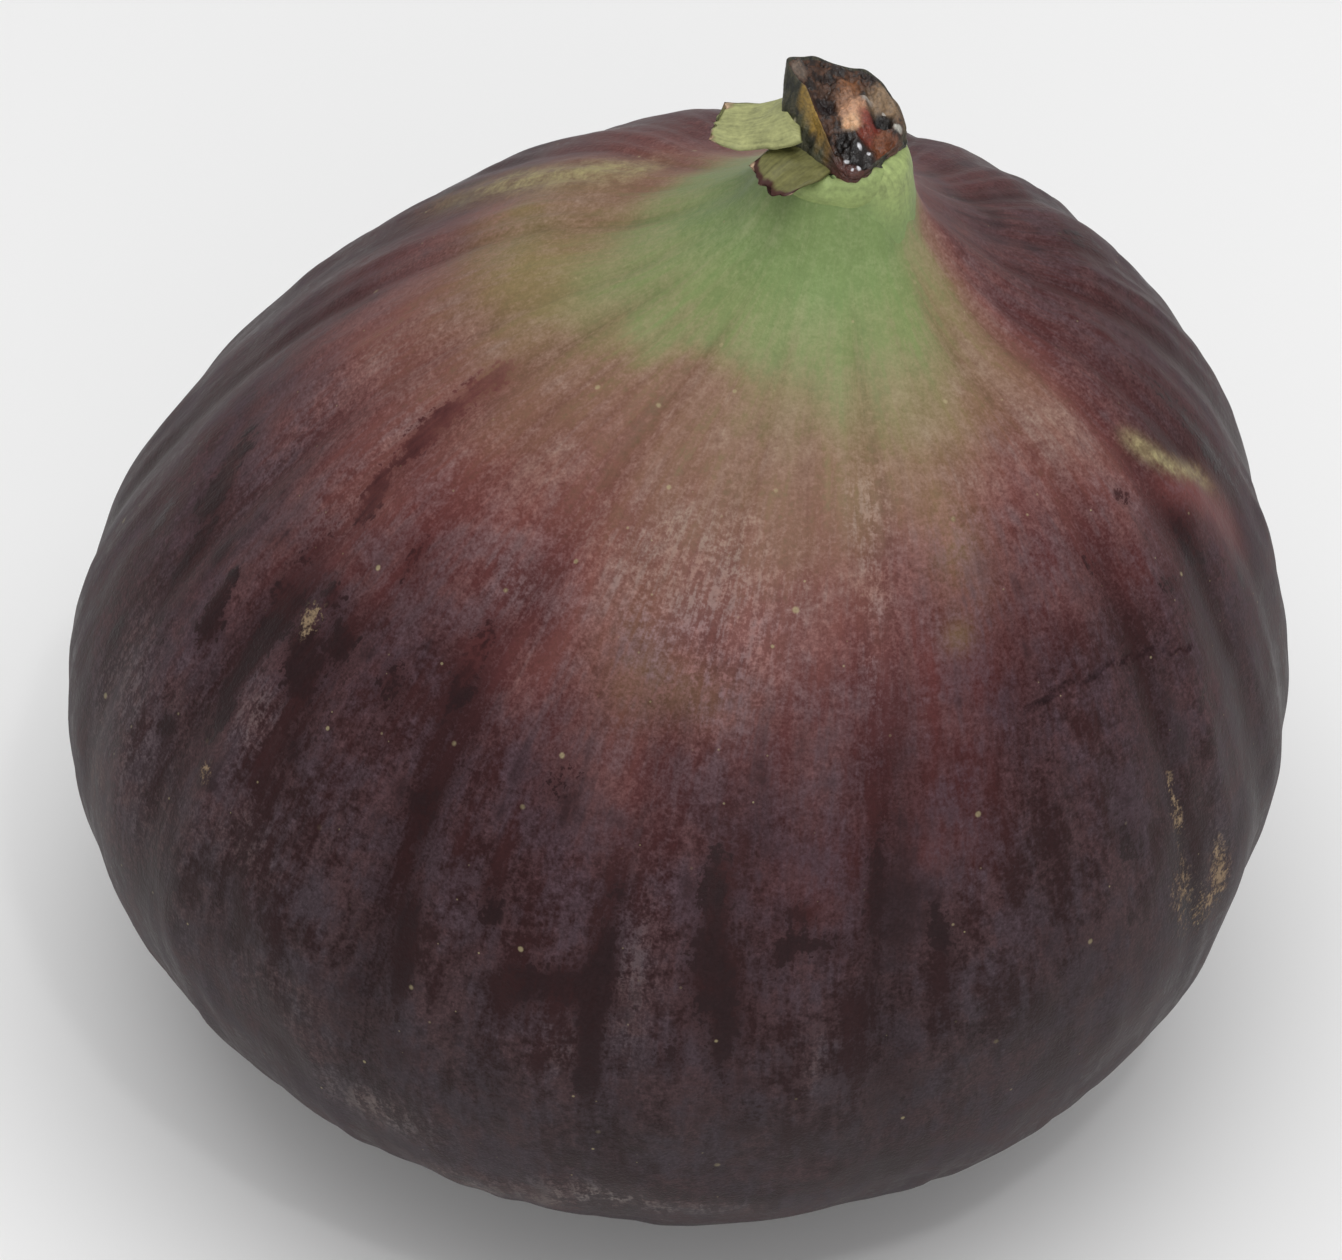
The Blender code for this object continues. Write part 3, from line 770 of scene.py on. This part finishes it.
# A ring of scales: radius, how many, turn, how steeply they dip, length
EYE = ((2.7, 8, 0.0, 0.12, 1.5), (2.0, 7, 0.45, 0.3, 1.3), (1.3, 5, 0.2, 0.45, 1.05))
tongues = np.stack([
    eye_rings(radius, turn + shift, tilt, length, int(100 * radius + 10 * k))
    for radius, count, shift, tilt, length in EYE
    for k, turn in enumerate(np.linspace(0, 2 * np.pi, count, endpoint=False))
])
along = np.linspace(0, 1, TONGUE_ROWS)[None, :, None] + np.zeros(tongues.shape[:3])
across = np.cos(np.linspace(0, 2 * np.pi, TONGUE_SIDES, endpoint=False)) + np.zeros(tongues.shape[:3])
eye = mesh_from_rings("eye_scales", in_place(tongues), {"along": along, "across": across})
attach(eye, "root")
print("eye scales", len(tongues))

# %% [markdown]
# ## Painting by nodes
#
# A few short helpers keep the node trees readable: one adds a node and fills its inputs, and the rest build
# on it to add, multiply, mix, fade and scatter. An input may be a number, a colour, or another node's output.

# %% Node helpers
def tone(red, green, blue):
    """A colour given as seen on a screen, 0 to 255, turned into the linear numbers that a shader takes."""
    seen = np.array([red, green, blue]) / 255.0
    return tuple(float(v) for v in np.where(seen <= 0.04045, seen / 12.92, ((seen + 0.055) / 1.055) ** 2.4))


class Paint:
    """Adds nodes to one tree."""

    def __init__(self, tree):
        self.tree = tree

    def feed(self, socket, value):
        """Puts a number or colour on a socket, or joins it to another node's output."""
        if isinstance(value, bpy.types.NodeSocket):
            self.tree.links.new(value, socket)
        else:
            socket.default_value = value

    def add(self, kind, inputs=None, **settings):
        """A node of this kind with its settings and inputs."""
        made = self.tree.nodes.new(kind)
        for key, value in settings.items():
            setattr(made, key, value)
        for key, value in (inputs or {}).items():
            self.feed(made.inputs[key], value)
        return made

    def math(self, operation, a, b=0.5, clamp=False):
        """One sum on two values."""
        return self.add("ShaderNodeMath", {0: a, 1: b}, operation=operation, use_clamp=clamp).outputs[0]

    def times(self, a, b, clamp=False):
        """The product of two values."""
        return self.math("MULTIPLY", a, b, clamp)

    def plus(self, a, b):
        """The sum of two values."""
        return self.math("ADD", a, b)

    def total(self, *parts, start=None):
        """The sum of (value, weight) pairs, on top of a value to start from."""
        for value, weight in parts:
            part = self.times(value, weight)
            start = part if start is None else self.plus(start, part)
        return start

    def mix(self, factor, a, b, blend="MIX"):
        """Two colours mixed by a factor."""
        made = self.add("ShaderNodeMix", {0: factor, 6: a, 7: b}, data_type="RGBA", blend_type=blend)
        return made.outputs[2]

    def tint(self, colour, by):
        """A colour multiplied by another one, or by a value."""
        return self.mix(1.0, colour, by, "MULTIPLY")

    def lay(self, over, mask, colour):
        """A screen colour laid over another colour where a mask is 1."""
        return self.mix(mask, over, (*tone(*colour), 1.0))

    def step(self, value, low, high, to_low=0.0, to_high=1.0):
        """Goes softly from one value to another while the input goes from low to high."""
        limits = {"Value": value, "From Min": low, "From Max": high, "To Min": to_low, "To Max": to_high}
        return self.add("ShaderNodeMapRange", limits, interpolation_type="SMOOTHSTEP").outputs["Result"]

    def here(self):
        """The place of the point in metres."""
        return self.add("ShaderNodeTexCoord").outputs["Object"]

    def point(self, x, y, z=0.0):
        """A place from its three measures."""
        return self.add("ShaderNodeCombineXYZ", {"X": x, "Y": y, "Z": z}).outputs["Vector"]

    def field(self, name, output="Fac"):
        """One of the piece's own fields."""
        return self.add("ShaderNodeAttribute", attribute_name=name).outputs[output]

    def noise(self, vector, scale, detail, rough=0.6):
        """A noise value, 0.5 on average."""
        inputs = {"Vector": vector, "Scale": scale, "Detail": detail, "Roughness": rough}
        return self.add("ShaderNodeTexNoise", inputs).outputs[0]

    def cells(self, vector, scale, channel):
        """Scattered points: the distance to the nearest one, and a number that chance gave to that one."""
        made = self.add("ShaderNodeTexVoronoi", {"Vector": vector, "Scale": scale}, feature="F1")
        split = self.add("ShaderNodeSeparateColor", {"Color": made.outputs["Color"]})
        return made.outputs["Distance"], split.outputs[channel]

    def ramp(self, value, stops):
        """A colour for each value, from stops of (position, colour)."""
        made = self.add("ShaderNodeValToRGB", {"Fac": value})
        ramp = made.color_ramp
        while len(ramp.elements) < len(stops):
            ramp.elements.new(0.5)
        for element, (position, colour) in zip(ramp.elements, stops):
            element.position, element.color = position, (*colour, 1.0)
        return made.outputs["Color"]

    def bump(self, height, strength, distance):
        """A normal that leans with the slope of a height, which stands distance metres high at 1."""
        inputs = {"Height": height, "Strength": strength, "Distance": distance}
        return self.add("ShaderNodeBump", inputs).outputs["Normal"]


def group(name, inputs, masks):
    """A new node group of masks, whose inputs are numbers, or vectors where the value is None.

    Gives a Paint on its tree, the values that come in, and the sockets that its masks go to.
    """
    tree = bpy.data.node_groups.new(name, "ShaderNodeTree")
    for label, value in inputs.items():
        kind = "NodeSocketVector" if value is None else "NodeSocketFloat"
        socket = tree.interface.new_socket(name=label, in_out="INPUT", socket_type=kind)
        if value is not None:
            socket.default_value = value
    for label in masks:
        tree.interface.new_socket(name=label, in_out="OUTPUT", socket_type="NodeSocketFloat")
    return Paint(tree), tree.nodes.new("NodeGroupInput").outputs, tree.nodes.new("NodeGroupOutput").inputs


# %% [markdown]
# ## Effects that several finishes share
#
# Mottle is the fine uneven tone of anything that grew: three sizes of noise in one group, so that each
# material only says how large its grain is. Dot is one small round mark with a soft, slightly ragged edge.

# %% Shared groups
paint, given, wanted = group("mottle", {"Vector": None, "Scale": 1000.0}, ("Fine", "Middle", "Broad"))
for label, factor, detail in (("Fine", 1.0, 4.0), ("Middle", 0.25, 4.0), ("Broad", 0.07, 3.0)):
    scale = paint.times(given["Scale"], factor)
    paint.feed(wanted[label], paint.noise(given["Vector"], scale, detail))

DOT_INPUTS = {"Vector": None, "Centre": None, "Radius": 0.0004, "Grain": 0.5}
paint, given, wanted = group("dot", DOT_INPUTS, ("Mask",))
far = paint.add("ShaderNodeVectorMath", {0: given["Vector"], 1: given["Centre"]}, operation="DISTANCE")
ragged = paint.plus(paint.times(given["Grain"], 0.8), 0.6)
edge = paint.math("DIVIDE", far.outputs["Value"], paint.times(given["Radius"], ragged))
paint.feed(wanted["Mask"], paint.step(edge, 0.45, 1.15, 1.0, 0.0))


def dot(paint, vector, grain, centre, radius):
    """The mask of one dot in the tree of a Paint."""
    inputs = {"Vector": vector, "Centre": centre, "Radius": radius, "Grain": grain}
    return paint.add("ShaderNodeGroup", inputs, node_tree=bpy.data.node_groups["dot"]).outputs["Mask"]


def new_material(name, scale):
    """A material with its shader, a Paint on its tree, and mottle at a scale."""
    made = bpy.data.materials.new(name)
    made.use_nodes = True
    paint = Paint(made.node_tree)
    inputs = {"Vector": paint.here(), "Scale": scale}
    grain = paint.add("ShaderNodeGroup", inputs, node_tree=bpy.data.node_groups["mottle"])
    return made, made.node_tree.nodes["Principled BSDF"], paint, grain.outputs


print("groups", [g.name for g in bpy.data.node_groups])

# %% [markdown]
# ## The skin's own colour
#
# Two layers make the colour: the skin, and a veil of grey bloom over it. One painted colour would look flat,
# for the eye knows bloom by the dark skin that shows through. The skin goes from lime at the neck over tan
# and rose to maroon and nearly black. Noise of three sizes, and fibres along the ribs, push the ripeness up
# and down before it picks a colour, so no border is a clean line.

# %% Skin material, the skin
SKIN_STOPS = [
    (0.00, tone(118, 138, 86)), (0.14, tone(125, 136, 88)), (0.21, tone(128, 127, 88)),
    (0.30, tone(130, 115, 82)), (0.40, tone(126, 93, 75)), (0.50, tone(115, 71, 64)),
    (0.58, tone(101, 58, 55)), (0.66, tone(82, 42, 42)), (0.76, tone(62, 31, 32)), (0.86, tone(45, 21, 22)),
    (1.00, tone(35, 20, 22)),
]

skin_paint, shader, paint, grain = new_material("fig skin", 2600.0)
here = paint.here()
fine, middle, broad = (paint.math("SUBTRACT", grain[k], 0.5) for k in ("Fine", "Middle", "Broad"))
flow = paint.field("flow", "Vector")
fibre = paint.math("SUBTRACT", paint.noise(flow, 60.0, 4.0, 0.65), 0.5)
wide_fibre = paint.math("SUBTRACT", paint.noise(flow, 16.0, 3.0), 0.5)
grit = paint.math("SUBTRACT", paint.noise(here, 7000.0, 2.0), 0.5)

level = paint.field("ripe")
ripe = paint.total((wide_fibre, 0.24), (fibre, 0.10), (broad, 0.10), (middle, 0.15), (fine, 0.10),
                   (grit, 0.05), start=level)
under = paint.ramp(ripe, SKIN_STOPS)
under = paint.lay(under, paint.times(paint.field("olive"), 0.7), (132, 118, 78))
under = paint.lay(under, paint.times(paint.field("red"), 0.6), (100, 44, 42))
under = paint.lay(under, paint.times(paint.field("blush"), 0.6), (136, 76, 72))

shade = paint.step(paint.total((fibre, 1.0), (middle, 1.0)), -0.25, 0.2, 1.0, 0.3)
shade = paint.times(paint.times(paint.field("furrow"), shade), 0.4)
under = paint.mix(shade, under, paint.tint(under, (0.42, 0.36, 0.38, 1.0)))

drift = paint.step(paint.total((broad, 1.0), (middle, 0.8), (fine, 0.5)), -0.05, 0.2)
drift = paint.times(paint.times(drift, paint.step(level, 0.35, 0.55)), 0.4)
under = paint.mix(drift, under, paint.tint(under, (0.95, 0.62, 0.62, 1.0)))

# %% [markdown]
# ## Where the bloom is gone
#
# Bloom is a wax that every touch takes off. The rubbed patches are torn by noise at their edges, long streaks
# lose it by chance, and a few cells of a scatter make freckles. All three are one mask of bare places, which
# also carries the painted shade of the broad patch on the belly's lower front.

# %% Skin material, bare places and painted shade
# The rubbed field holds painted shade too: its broad weak patch darkens the belly's lower front
rubbed_and_shade = paint.field("rubbed_and_shade")
bare_and_shade = paint.step(paint.total((middle, 2.1), (fine, 2.1), (fibre, 1.1), (grit, 1.2), start=rubbed_and_shade), 0.42, 0.9)
bare_and_shade = paint.times(bare_and_shade, paint.step(rubbed_and_shade, 0.08, 0.4))
bare_and_shade = paint.times(bare_and_shade, paint.step(level, 0.3, 0.6, 0.3, 1.0))
streaky = paint.total((wide_fibre, 2.0), (broad, 2.2), (middle, 2.0), (fine, 0.5), (fibre, 0.5))
streaky = paint.times(paint.step(streaky, 0.05, 0.95), paint.step(level, 0.45, 0.8, 0.0, 0.7))
bare_and_shade = paint.math("MAXIMUM", bare_and_shade, streaky)
distance, chance = paint.cells(here, 620.0, "Red")
freckle = paint.step(paint.total((fine, 0.9), (middle, 0.4), start=distance), 0.0, 0.45, 1.0, 0.0)
freckle = paint.times(freckle, paint.step(chance, 0.80, 0.84))
freckle = paint.times(freckle, paint.step(paint.total((broad, 2.5), start=level), 0.5, 0.75))
bare_and_shade = paint.math("MAXIMUM", bare_and_shade, paint.times(freckle, 0.4))

# %% [markdown]
# ## The veil of bloom
#
# The veil's cover grows with ripeness, is made uneven by the same noises, thins in the furrows, thickens
# where the dust field says so, and goes where the skin is bare. The dust field also holds painted sheen, a
# paler bloom low on the belly's left and right. The veil's colour drifts between a warm and a bluish grey.

# %% Skin material, the bloom
VEIL_STOPS = [
    (0.00, tone(146, 156, 116)), (0.20, tone(147, 145, 110)), (0.40, tone(145, 124, 107)),
    (0.58, tone(133, 102, 98)), (0.72, tone(104, 78, 79)), (0.86, tone(84, 62, 67)),
    (1.00, tone(70, 58, 61)),
]

uneven = paint.total((wide_fibre, 1.0), (fibre, 0.8), (broad, 1.5), (middle, 1.3), (fine, 0.85), (grit, 0.8))
uneven = paint.times(uneven, paint.step(level, 0.1, 0.5, 0.5, 1.0))
slow = paint.total((wide_fibre, 0.9), (fibre, 0.4), (broad, 0.8), (middle, 0.25))
uneven = paint.plus(uneven, paint.times(slow, paint.step(level, 0.82, 0.98)))
cover = paint.plus(uneven, paint.step(level, 0.0, 0.9, 0.16, 0.40))
groove = paint.times(paint.field("furrow"), paint.step(level, 0.45, 0.85, -0.18, -0.5))
patchy = paint.step(paint.total((broad, 1.0), (middle, 1.0), (fine, 0.4)), -0.22, 0.18, 0.25, 1.1)
cover = paint.plus(cover, paint.plus(paint.times(groove, patchy), paint.step(level, 0.6, 0.9, 0.0, 0.05)))
cover = paint.math("MAXIMUM", cover, 0.03)
dust_and_sheen = paint.step(paint.total((fine, 0.8), (fibre, 1.0), (grit, 0.5)), -0.12, 0.2, 0.2, 1.15)
# The dust field carries the painted sheen low on the belly's left and right into the cover
dust_and_sheen = paint.times(paint.field("dusty_and_sheen"), dust_and_sheen)
cover = paint.times(paint.plus(cover, dust_and_sheen), paint.step(bare_and_shade, 0.0, 1.0, 1.0, 0.12), clamp=True)

veil = paint.ramp(level, VEIL_STOPS)
bluish = paint.step(paint.total((fibre, 0.4), start=paint.noise(here, 430.0, 3.0)), 0.38, 0.62)
hue = paint.mix(bluish, (1.08, 0.95, 0.92, 1.0), (0.92, 1.01, 1.09, 1.0))
veil = paint.mix(paint.step(level, 0.35, 0.7), veil, paint.tint(veil, hue))
# Thick dust lays a pale grey on the veil, and so does the painted sheen low on the belly's edges
thick = paint.times(dust_and_sheen, paint.step(level, 0.75, 0.95, 0.0, 0.6), clamp=True)
veil = paint.lay(veil, thick, (116, 108, 103))
colour = paint.mix(cover, under, veil)
deeper = paint.ramp(paint.plus(ripe, 0.17), SKIN_STOPS)
colour = paint.mix(paint.times(bare_and_shade, paint.total((middle, 1.6), (fibre, 1.0), start=0.62)), colour, deeper)

# %% [markdown]
# ## Marks on the skin
#
# The pale ridges, the scabs and the crack come from their fields. Pores are dots at their own places, and
# scatters of three sizes add the specks that are too many to place. A last fine speckle touches all of it.

# %% Skin material, marks
PORES = [
    (-144, 45.9), (-154, 43.6), (-129.7, 46.2), (-125.7, 47.9), (-114.5, 47.1), (-117.5, 44.8),
    (-125.5, 41.8), (-132.6, 40), (-116.2, 35.8), (-160.2, 36.5), (-143.2, 32.5), (-97.8, 45.4),
    (-94, 40.9), (-91.4, 42.1), (-65, 44.4), (-51.3, 43.8), (-55.7, 46.8), (-114.5, 28), (-129, 19.1),
    (-76.5, 19.2), (-94.7, 25.2), (-30, 38.4), (-50, 31), (-150, 38), (30, 40), (80, 38), (120, 42),
    (60, 30),
]

ridge = paint.total((middle, 1.6), (fine, 1.0), start=paint.plus(fibre, 0.8))
colour = paint.lay(colour, paint.times(paint.field("crest"), ridge), (148, 137, 100))
scabbed = paint.field("scabbed")
crust = paint.step(paint.total((middle, 1.4), (fine, 2.2), (grit, 2.0), start=scabbed), 0.3, 1.15)
crust = paint.times(crust, paint.step(scabbed, 0.05, 0.4))
colour = paint.lay(colour, paint.times(crust, 0.6), (156, 134, 106))
line = paint.total((middle, 0.14), (fine, 0.12), (grit, 0.1), start=paint.field("crack"))
line = paint.step(line, 0.0, 0.27, 0.75, 0.0)
colour = paint.lay(colour, line, (34, 20, 23))

pores = 0.0
rng = np.random.default_rng(17)
for degrees, height in PORES:
    mark = dot(paint, here, grain["Fine"], on_skin(degrees, height), float(rng.uniform(0.00010, 0.00019)))
    pores = paint.math("MAXIMUM", pores, mark)
for scale, share, radius in ((330.0, 0.72, 0.045), (760.0, 0.66, 0.05), (1300.0, 0.80, 0.06)):
    distance, chance = paint.cells(here, scale, "Green")
    speck = paint.step(distance, radius * 0.6, radius * 1.4, 1.0, 0.0)
    pores = paint.math("MAXIMUM", pores, paint.times(speck, paint.step(chance, share, 1.0, 0.0, 0.9)))
colour = paint.lay(colour, paint.times(pores, 0.6), (164, 152, 116))
speckle = paint.total((grit, 0.75), (fine, 0.75), (middle, 0.3))
speckle = paint.times(speckle, paint.step(level, 0.1, 0.8, 0.35, 1.0))
paint.feed(shader.inputs["Base Color"], paint.tint(colour, paint.plus(speckle, 1.0)))

# %% [markdown]
# ## The skin's sheen
#
# Bloom scatters light and bare skin shines softly, so the roughness follows the bloom's cover. Scabs stand up
# a little and the crack goes in. That relief is finer than the mesh, so a bump makes it.

# %% Skin material, sheen and fine relief
gloss = paint.total((cover, 0.25), (fine, 0.15), (bare_and_shade, -0.10), (crust, 0.3), start=paint.plus(line, 0.42))
paint.feed(shader.inputs["Roughness"], paint.math("MINIMUM", gloss, 0.85))
shader.inputs["Specular IOR Level"].default_value = 0.14
rise = paint.total((fine, 0.7), (grit, 0.5), (fibre, 0.7), (crust, 0.8), (line, -0.8))
paint.feed(shader.inputs["Normal"], paint.bump(rise, 0.35, 0.00012))
skin.data.materials.append(skin_paint)
print("nodes in the skin's material", len(skin_paint.node_tree.nodes))

# %% [markdown]
# ## The stalk's dark wood
#
# The wall is green-black with pale flecks and one ochre strip; the cut is brown-black with a cream and red
# core, small beads of dried sap, and a wet patch with painted highlights for its sparkle. Its marks are
# placed in the stub's own measures, the field local.

# %% Stalk material
# Stains, and painted highlights on the wet patch: place in the stub's millimetres, radius, colour, strength
STAINS_AND_HIGHLIGHTS = [
    (1.95, 1.1, 1.05, (142, 118, 92), 0.85), (1.8, -1.1, 1.1, (118, 68, 42), 0.85),
    (0.3, 1.6, 0.6, (130, 82, 46), 0.75), (-2.1, 1.3, 0.45, (116, 102, 90), 0.7),
    (-0.9, 1.2, 0.5, (84, 62, 50), 0.6), (0.35, 0.75, 0.75, (150, 112, 88), 0.85),
    (0.5, -0.05, 0.85, (200, 152, 120), 0.82), (0.35, -0.6, 0.5, (212, 170, 132), 0.75),
    (1.2, -0.2, 0.6, (110, 30, 24), 0.85), (1, -0.95, 0.5, (120, 46, 32), 0.75),
    (-0.85, 0.2, 0.62, (24, 10, 10), 0.97), (1.85, 0.25, 0.6, (10, 7, 7), 0.97),
    (0.05, -1.35, 0.5, (9, 5, 4), 0.95), (0.8, -2, 1.1, (9, 4, 3), 0.95),
    (2.5, -0.05, 0.24, (186, 184, 174), 0.85), (1.05, 0.95, 0.36, (166, 160, 152), 0.7),
    # From this row's last spot on, the five tiny bluish-white spots are painted highlights on the wet patch
    (0.1, -2.9, 0.8, (84, 36, 26), 0.8), (0.75, -1.55, 0.13, (226, 226, 230), 0.9),
    (1.2, -1.6, 0.1, (220, 220, 224), 0.85), (0.2, -2.1, 0.14, (218, 218, 222), 0.85),
    (0.75, -2.45, 0.12, (222, 222, 226), 0.85), (0.45, -2.55, 0.08, (214, 214, 218), 0.8),
    (1.9, 0.75, 0.1, (200, 196, 188), 0.7),
]
WALL_STAINS = [
    (-1.8, 0.15, 0.34, (138, 110, 48), 0.75), (-1.48, -0.3, 0.38, (146, 116, 50), 0.85),
    (-1.18, -0.7, 0.4, (148, 117, 50), 0.9), (-0.9, -1.15, 0.38, (142, 110, 47), 0.85),
    (-0.62, -1.62, 0.3, (122, 92, 42), 0.75), (-2.2, -0.2, 0.12, (196, 190, 164), 0.8),
    (-2, -0.7, 0.6, (104, 104, 84), 0.4), (-1.3, -1.7, 0.6, (104, 104, 84), 0.4),
    (0.3, -2.8, 1.4, (74, 34, 25), 0.85), (2.6, 0.9, 1.1, (104, 82, 62), 0.6),
    (2.5, -1, 0.7, (92, 54, 38), 0.6),
]

stalk_paint, shader, paint, grain = new_material("cut stalk", 6500.0)
fine, middle = grain["Fine"], grain["Middle"]
local = paint.add("ShaderNodeSeparateXYZ", {"Vector": paint.field("local", "Vector")}).outputs
spot = paint.point(local["X"], local["Y"])
strands = paint.noise(paint.point(local["X"], local["Y"], paint.times(local["Z"], 0.15)), 3.2, 4.0)


def spotted(over, ragged, stains):
    """Stains and painted highlights laid on a colour one by one, soft spots with edges ragged by a value."""
    for x, y, radius, colour, strength in stains:
        mark = dot(paint, spot, ragged, (x, y, 0.0), radius)
        over = paint.lay(over, paint.times(mark, strength), colour)
    return over


wall = paint.ramp(strands, [(0.34, tone(20, 20, 13)), (0.48, tone(40, 40, 27)), (0.56, tone(66, 62, 46)),
                            (0.62, tone(30, 28, 19)), (0.75, tone(82, 76, 62))])
face = paint.ramp(middle, [(0.32, tone(22, 12, 9)), (0.46, tone(40, 24, 16)), (0.56, tone(76, 48, 31)),
                           (0.68, tone(44, 25, 18))])
face = spotted(face, middle, STAINS_AND_HIGHLIGHTS)
wall = spotted(wall, strands, WALL_STAINS)
cut = paint.step(paint.field("cut"), 0.35, 0.65)
light = paint.ramp(fine, [(0.3, (0.6, 0.6, 0.6)), (0.7, (1.35, 1.35, 1.35))])
paint.feed(shader.inputs["Base Color"], paint.tint(paint.mix(cut, wall, face), light))
moist = paint.times(dot(paint, spot, middle, (0.7, -2.0, 0.0), 1.7), cut)
dry = paint.step(fine, 0.4, 0.6, 0.35, 0.6)
paint.feed(shader.inputs["Roughness"], paint.step(moist, 0.0, 1.0, dry, 0.1))
shader.inputs["Specular IOR Level"].default_value = 0.5
rise = paint.total((middle, 0.7), (fine, 0.3))
paint.feed(shader.inputs["Normal"], paint.bump(rise, 0.7, 0.00025))
stalk.data.materials.append(stalk_paint)
print("nodes in the stalk's material", len(stalk_paint.node_tree.nodes))

# %% [markdown]
# ## The bracts' finish
#
# Fresh bracts are pale yellow-green and dry from the edge inwards to brown, with a thin pinkish rim. The
# piece's own along and across fields tell the shader how near the edge a point is.

# %% Bract materials
def bract_paint(name, leaf, dried, reach, seed, width=0.1, spots=()):
    """A leaf colour that changes to another near the tip: reach and width say where along the scale."""
    made, shader, paint, grain = new_material(name, 5000.0)
    fine, middle = grain["Fine"], grain["Middle"]
    along, across = paint.field("along"), paint.field("across")
    veins = paint.noise(paint.point(paint.times(across, 6.0), along, float(seed)), 2.0, 3.0)
    lights = ((0.3, 0.8), (0.5, 1.0), (0.7, 1.12))
    stops = [(place, tone(*(min(255, v * light) for v in leaf))) for place, light in lights]
    colour = paint.ramp(paint.total((veins, 0.6), (middle, 0.4)), stops)
    sharp = width < 0.3
    rim = paint.math("POWER", paint.math("ABSOLUTE", across), 6.0 if sharp else 3.0)
    edge = paint.plus(along, paint.times(rim, 0.12 if sharp else 1.0))
    edge = paint.total((paint.math("SUBTRACT", middle, 0.5), 0.25), start=edge)
    colour = paint.lay(colour, paint.step(edge, reach, reach + width), dried)
    if sharp:
        colour = paint.lay(colour, paint.step(edge, 1.0, 1.06), (186, 160, 132))
    colour = paint.tint(colour, paint.ramp(fine, [(0.3, (0.86, 0.86, 0.86)), (0.7, (1.1, 1.1, 1.1))]))
    for degrees, height, radius in spots:
        mark = dot(paint, paint.here(), fine, on_skin(degrees, height), radius)
        colour = paint.lay(colour, paint.times(mark, 0.6), (104, 88, 46))
    paint.feed(shader.inputs["Base Color"], colour)
    paint.feed(shader.inputs["Roughness"], paint.step(middle, 0.3, 0.7, 0.48, 0.62))
    shader.inputs["Specular IOR Level"].default_value = 0.3
    rise = paint.total((veins, 0.7), (fine, 0.3))
    paint.feed(shader.inputs["Normal"], paint.bump(rise, 0.4, 0.0001))
    return made


SPOTS = ((-62.0, 50.9, 0.00022), (-33.0, 50.7, 0.00014))
bract_left.data.materials.append(bract_paint("bract torn", (158, 160, 110), (84, 46, 36), 0.97, 1))
bract_front.data.materials.append(bract_paint("bract broken", (108, 106, 64), (64, 33, 27), 0.84, 2))
lying = bract_paint("bract lying", (150, 165, 106), (123, 143, 90), 0.25, 3, 0.75, SPOTS)
bract_right.data.materials.append(lying)
collar.data.materials.append(bract_paint("collar", (143, 159, 101), (92, 76, 50), 0.97, 4))
eye.data.materials.append(bract_paint("eye scale", (96, 52, 50), (60, 34, 30), 2.0, 5))
print("materials", [m.name for m in bpy.data.materials])
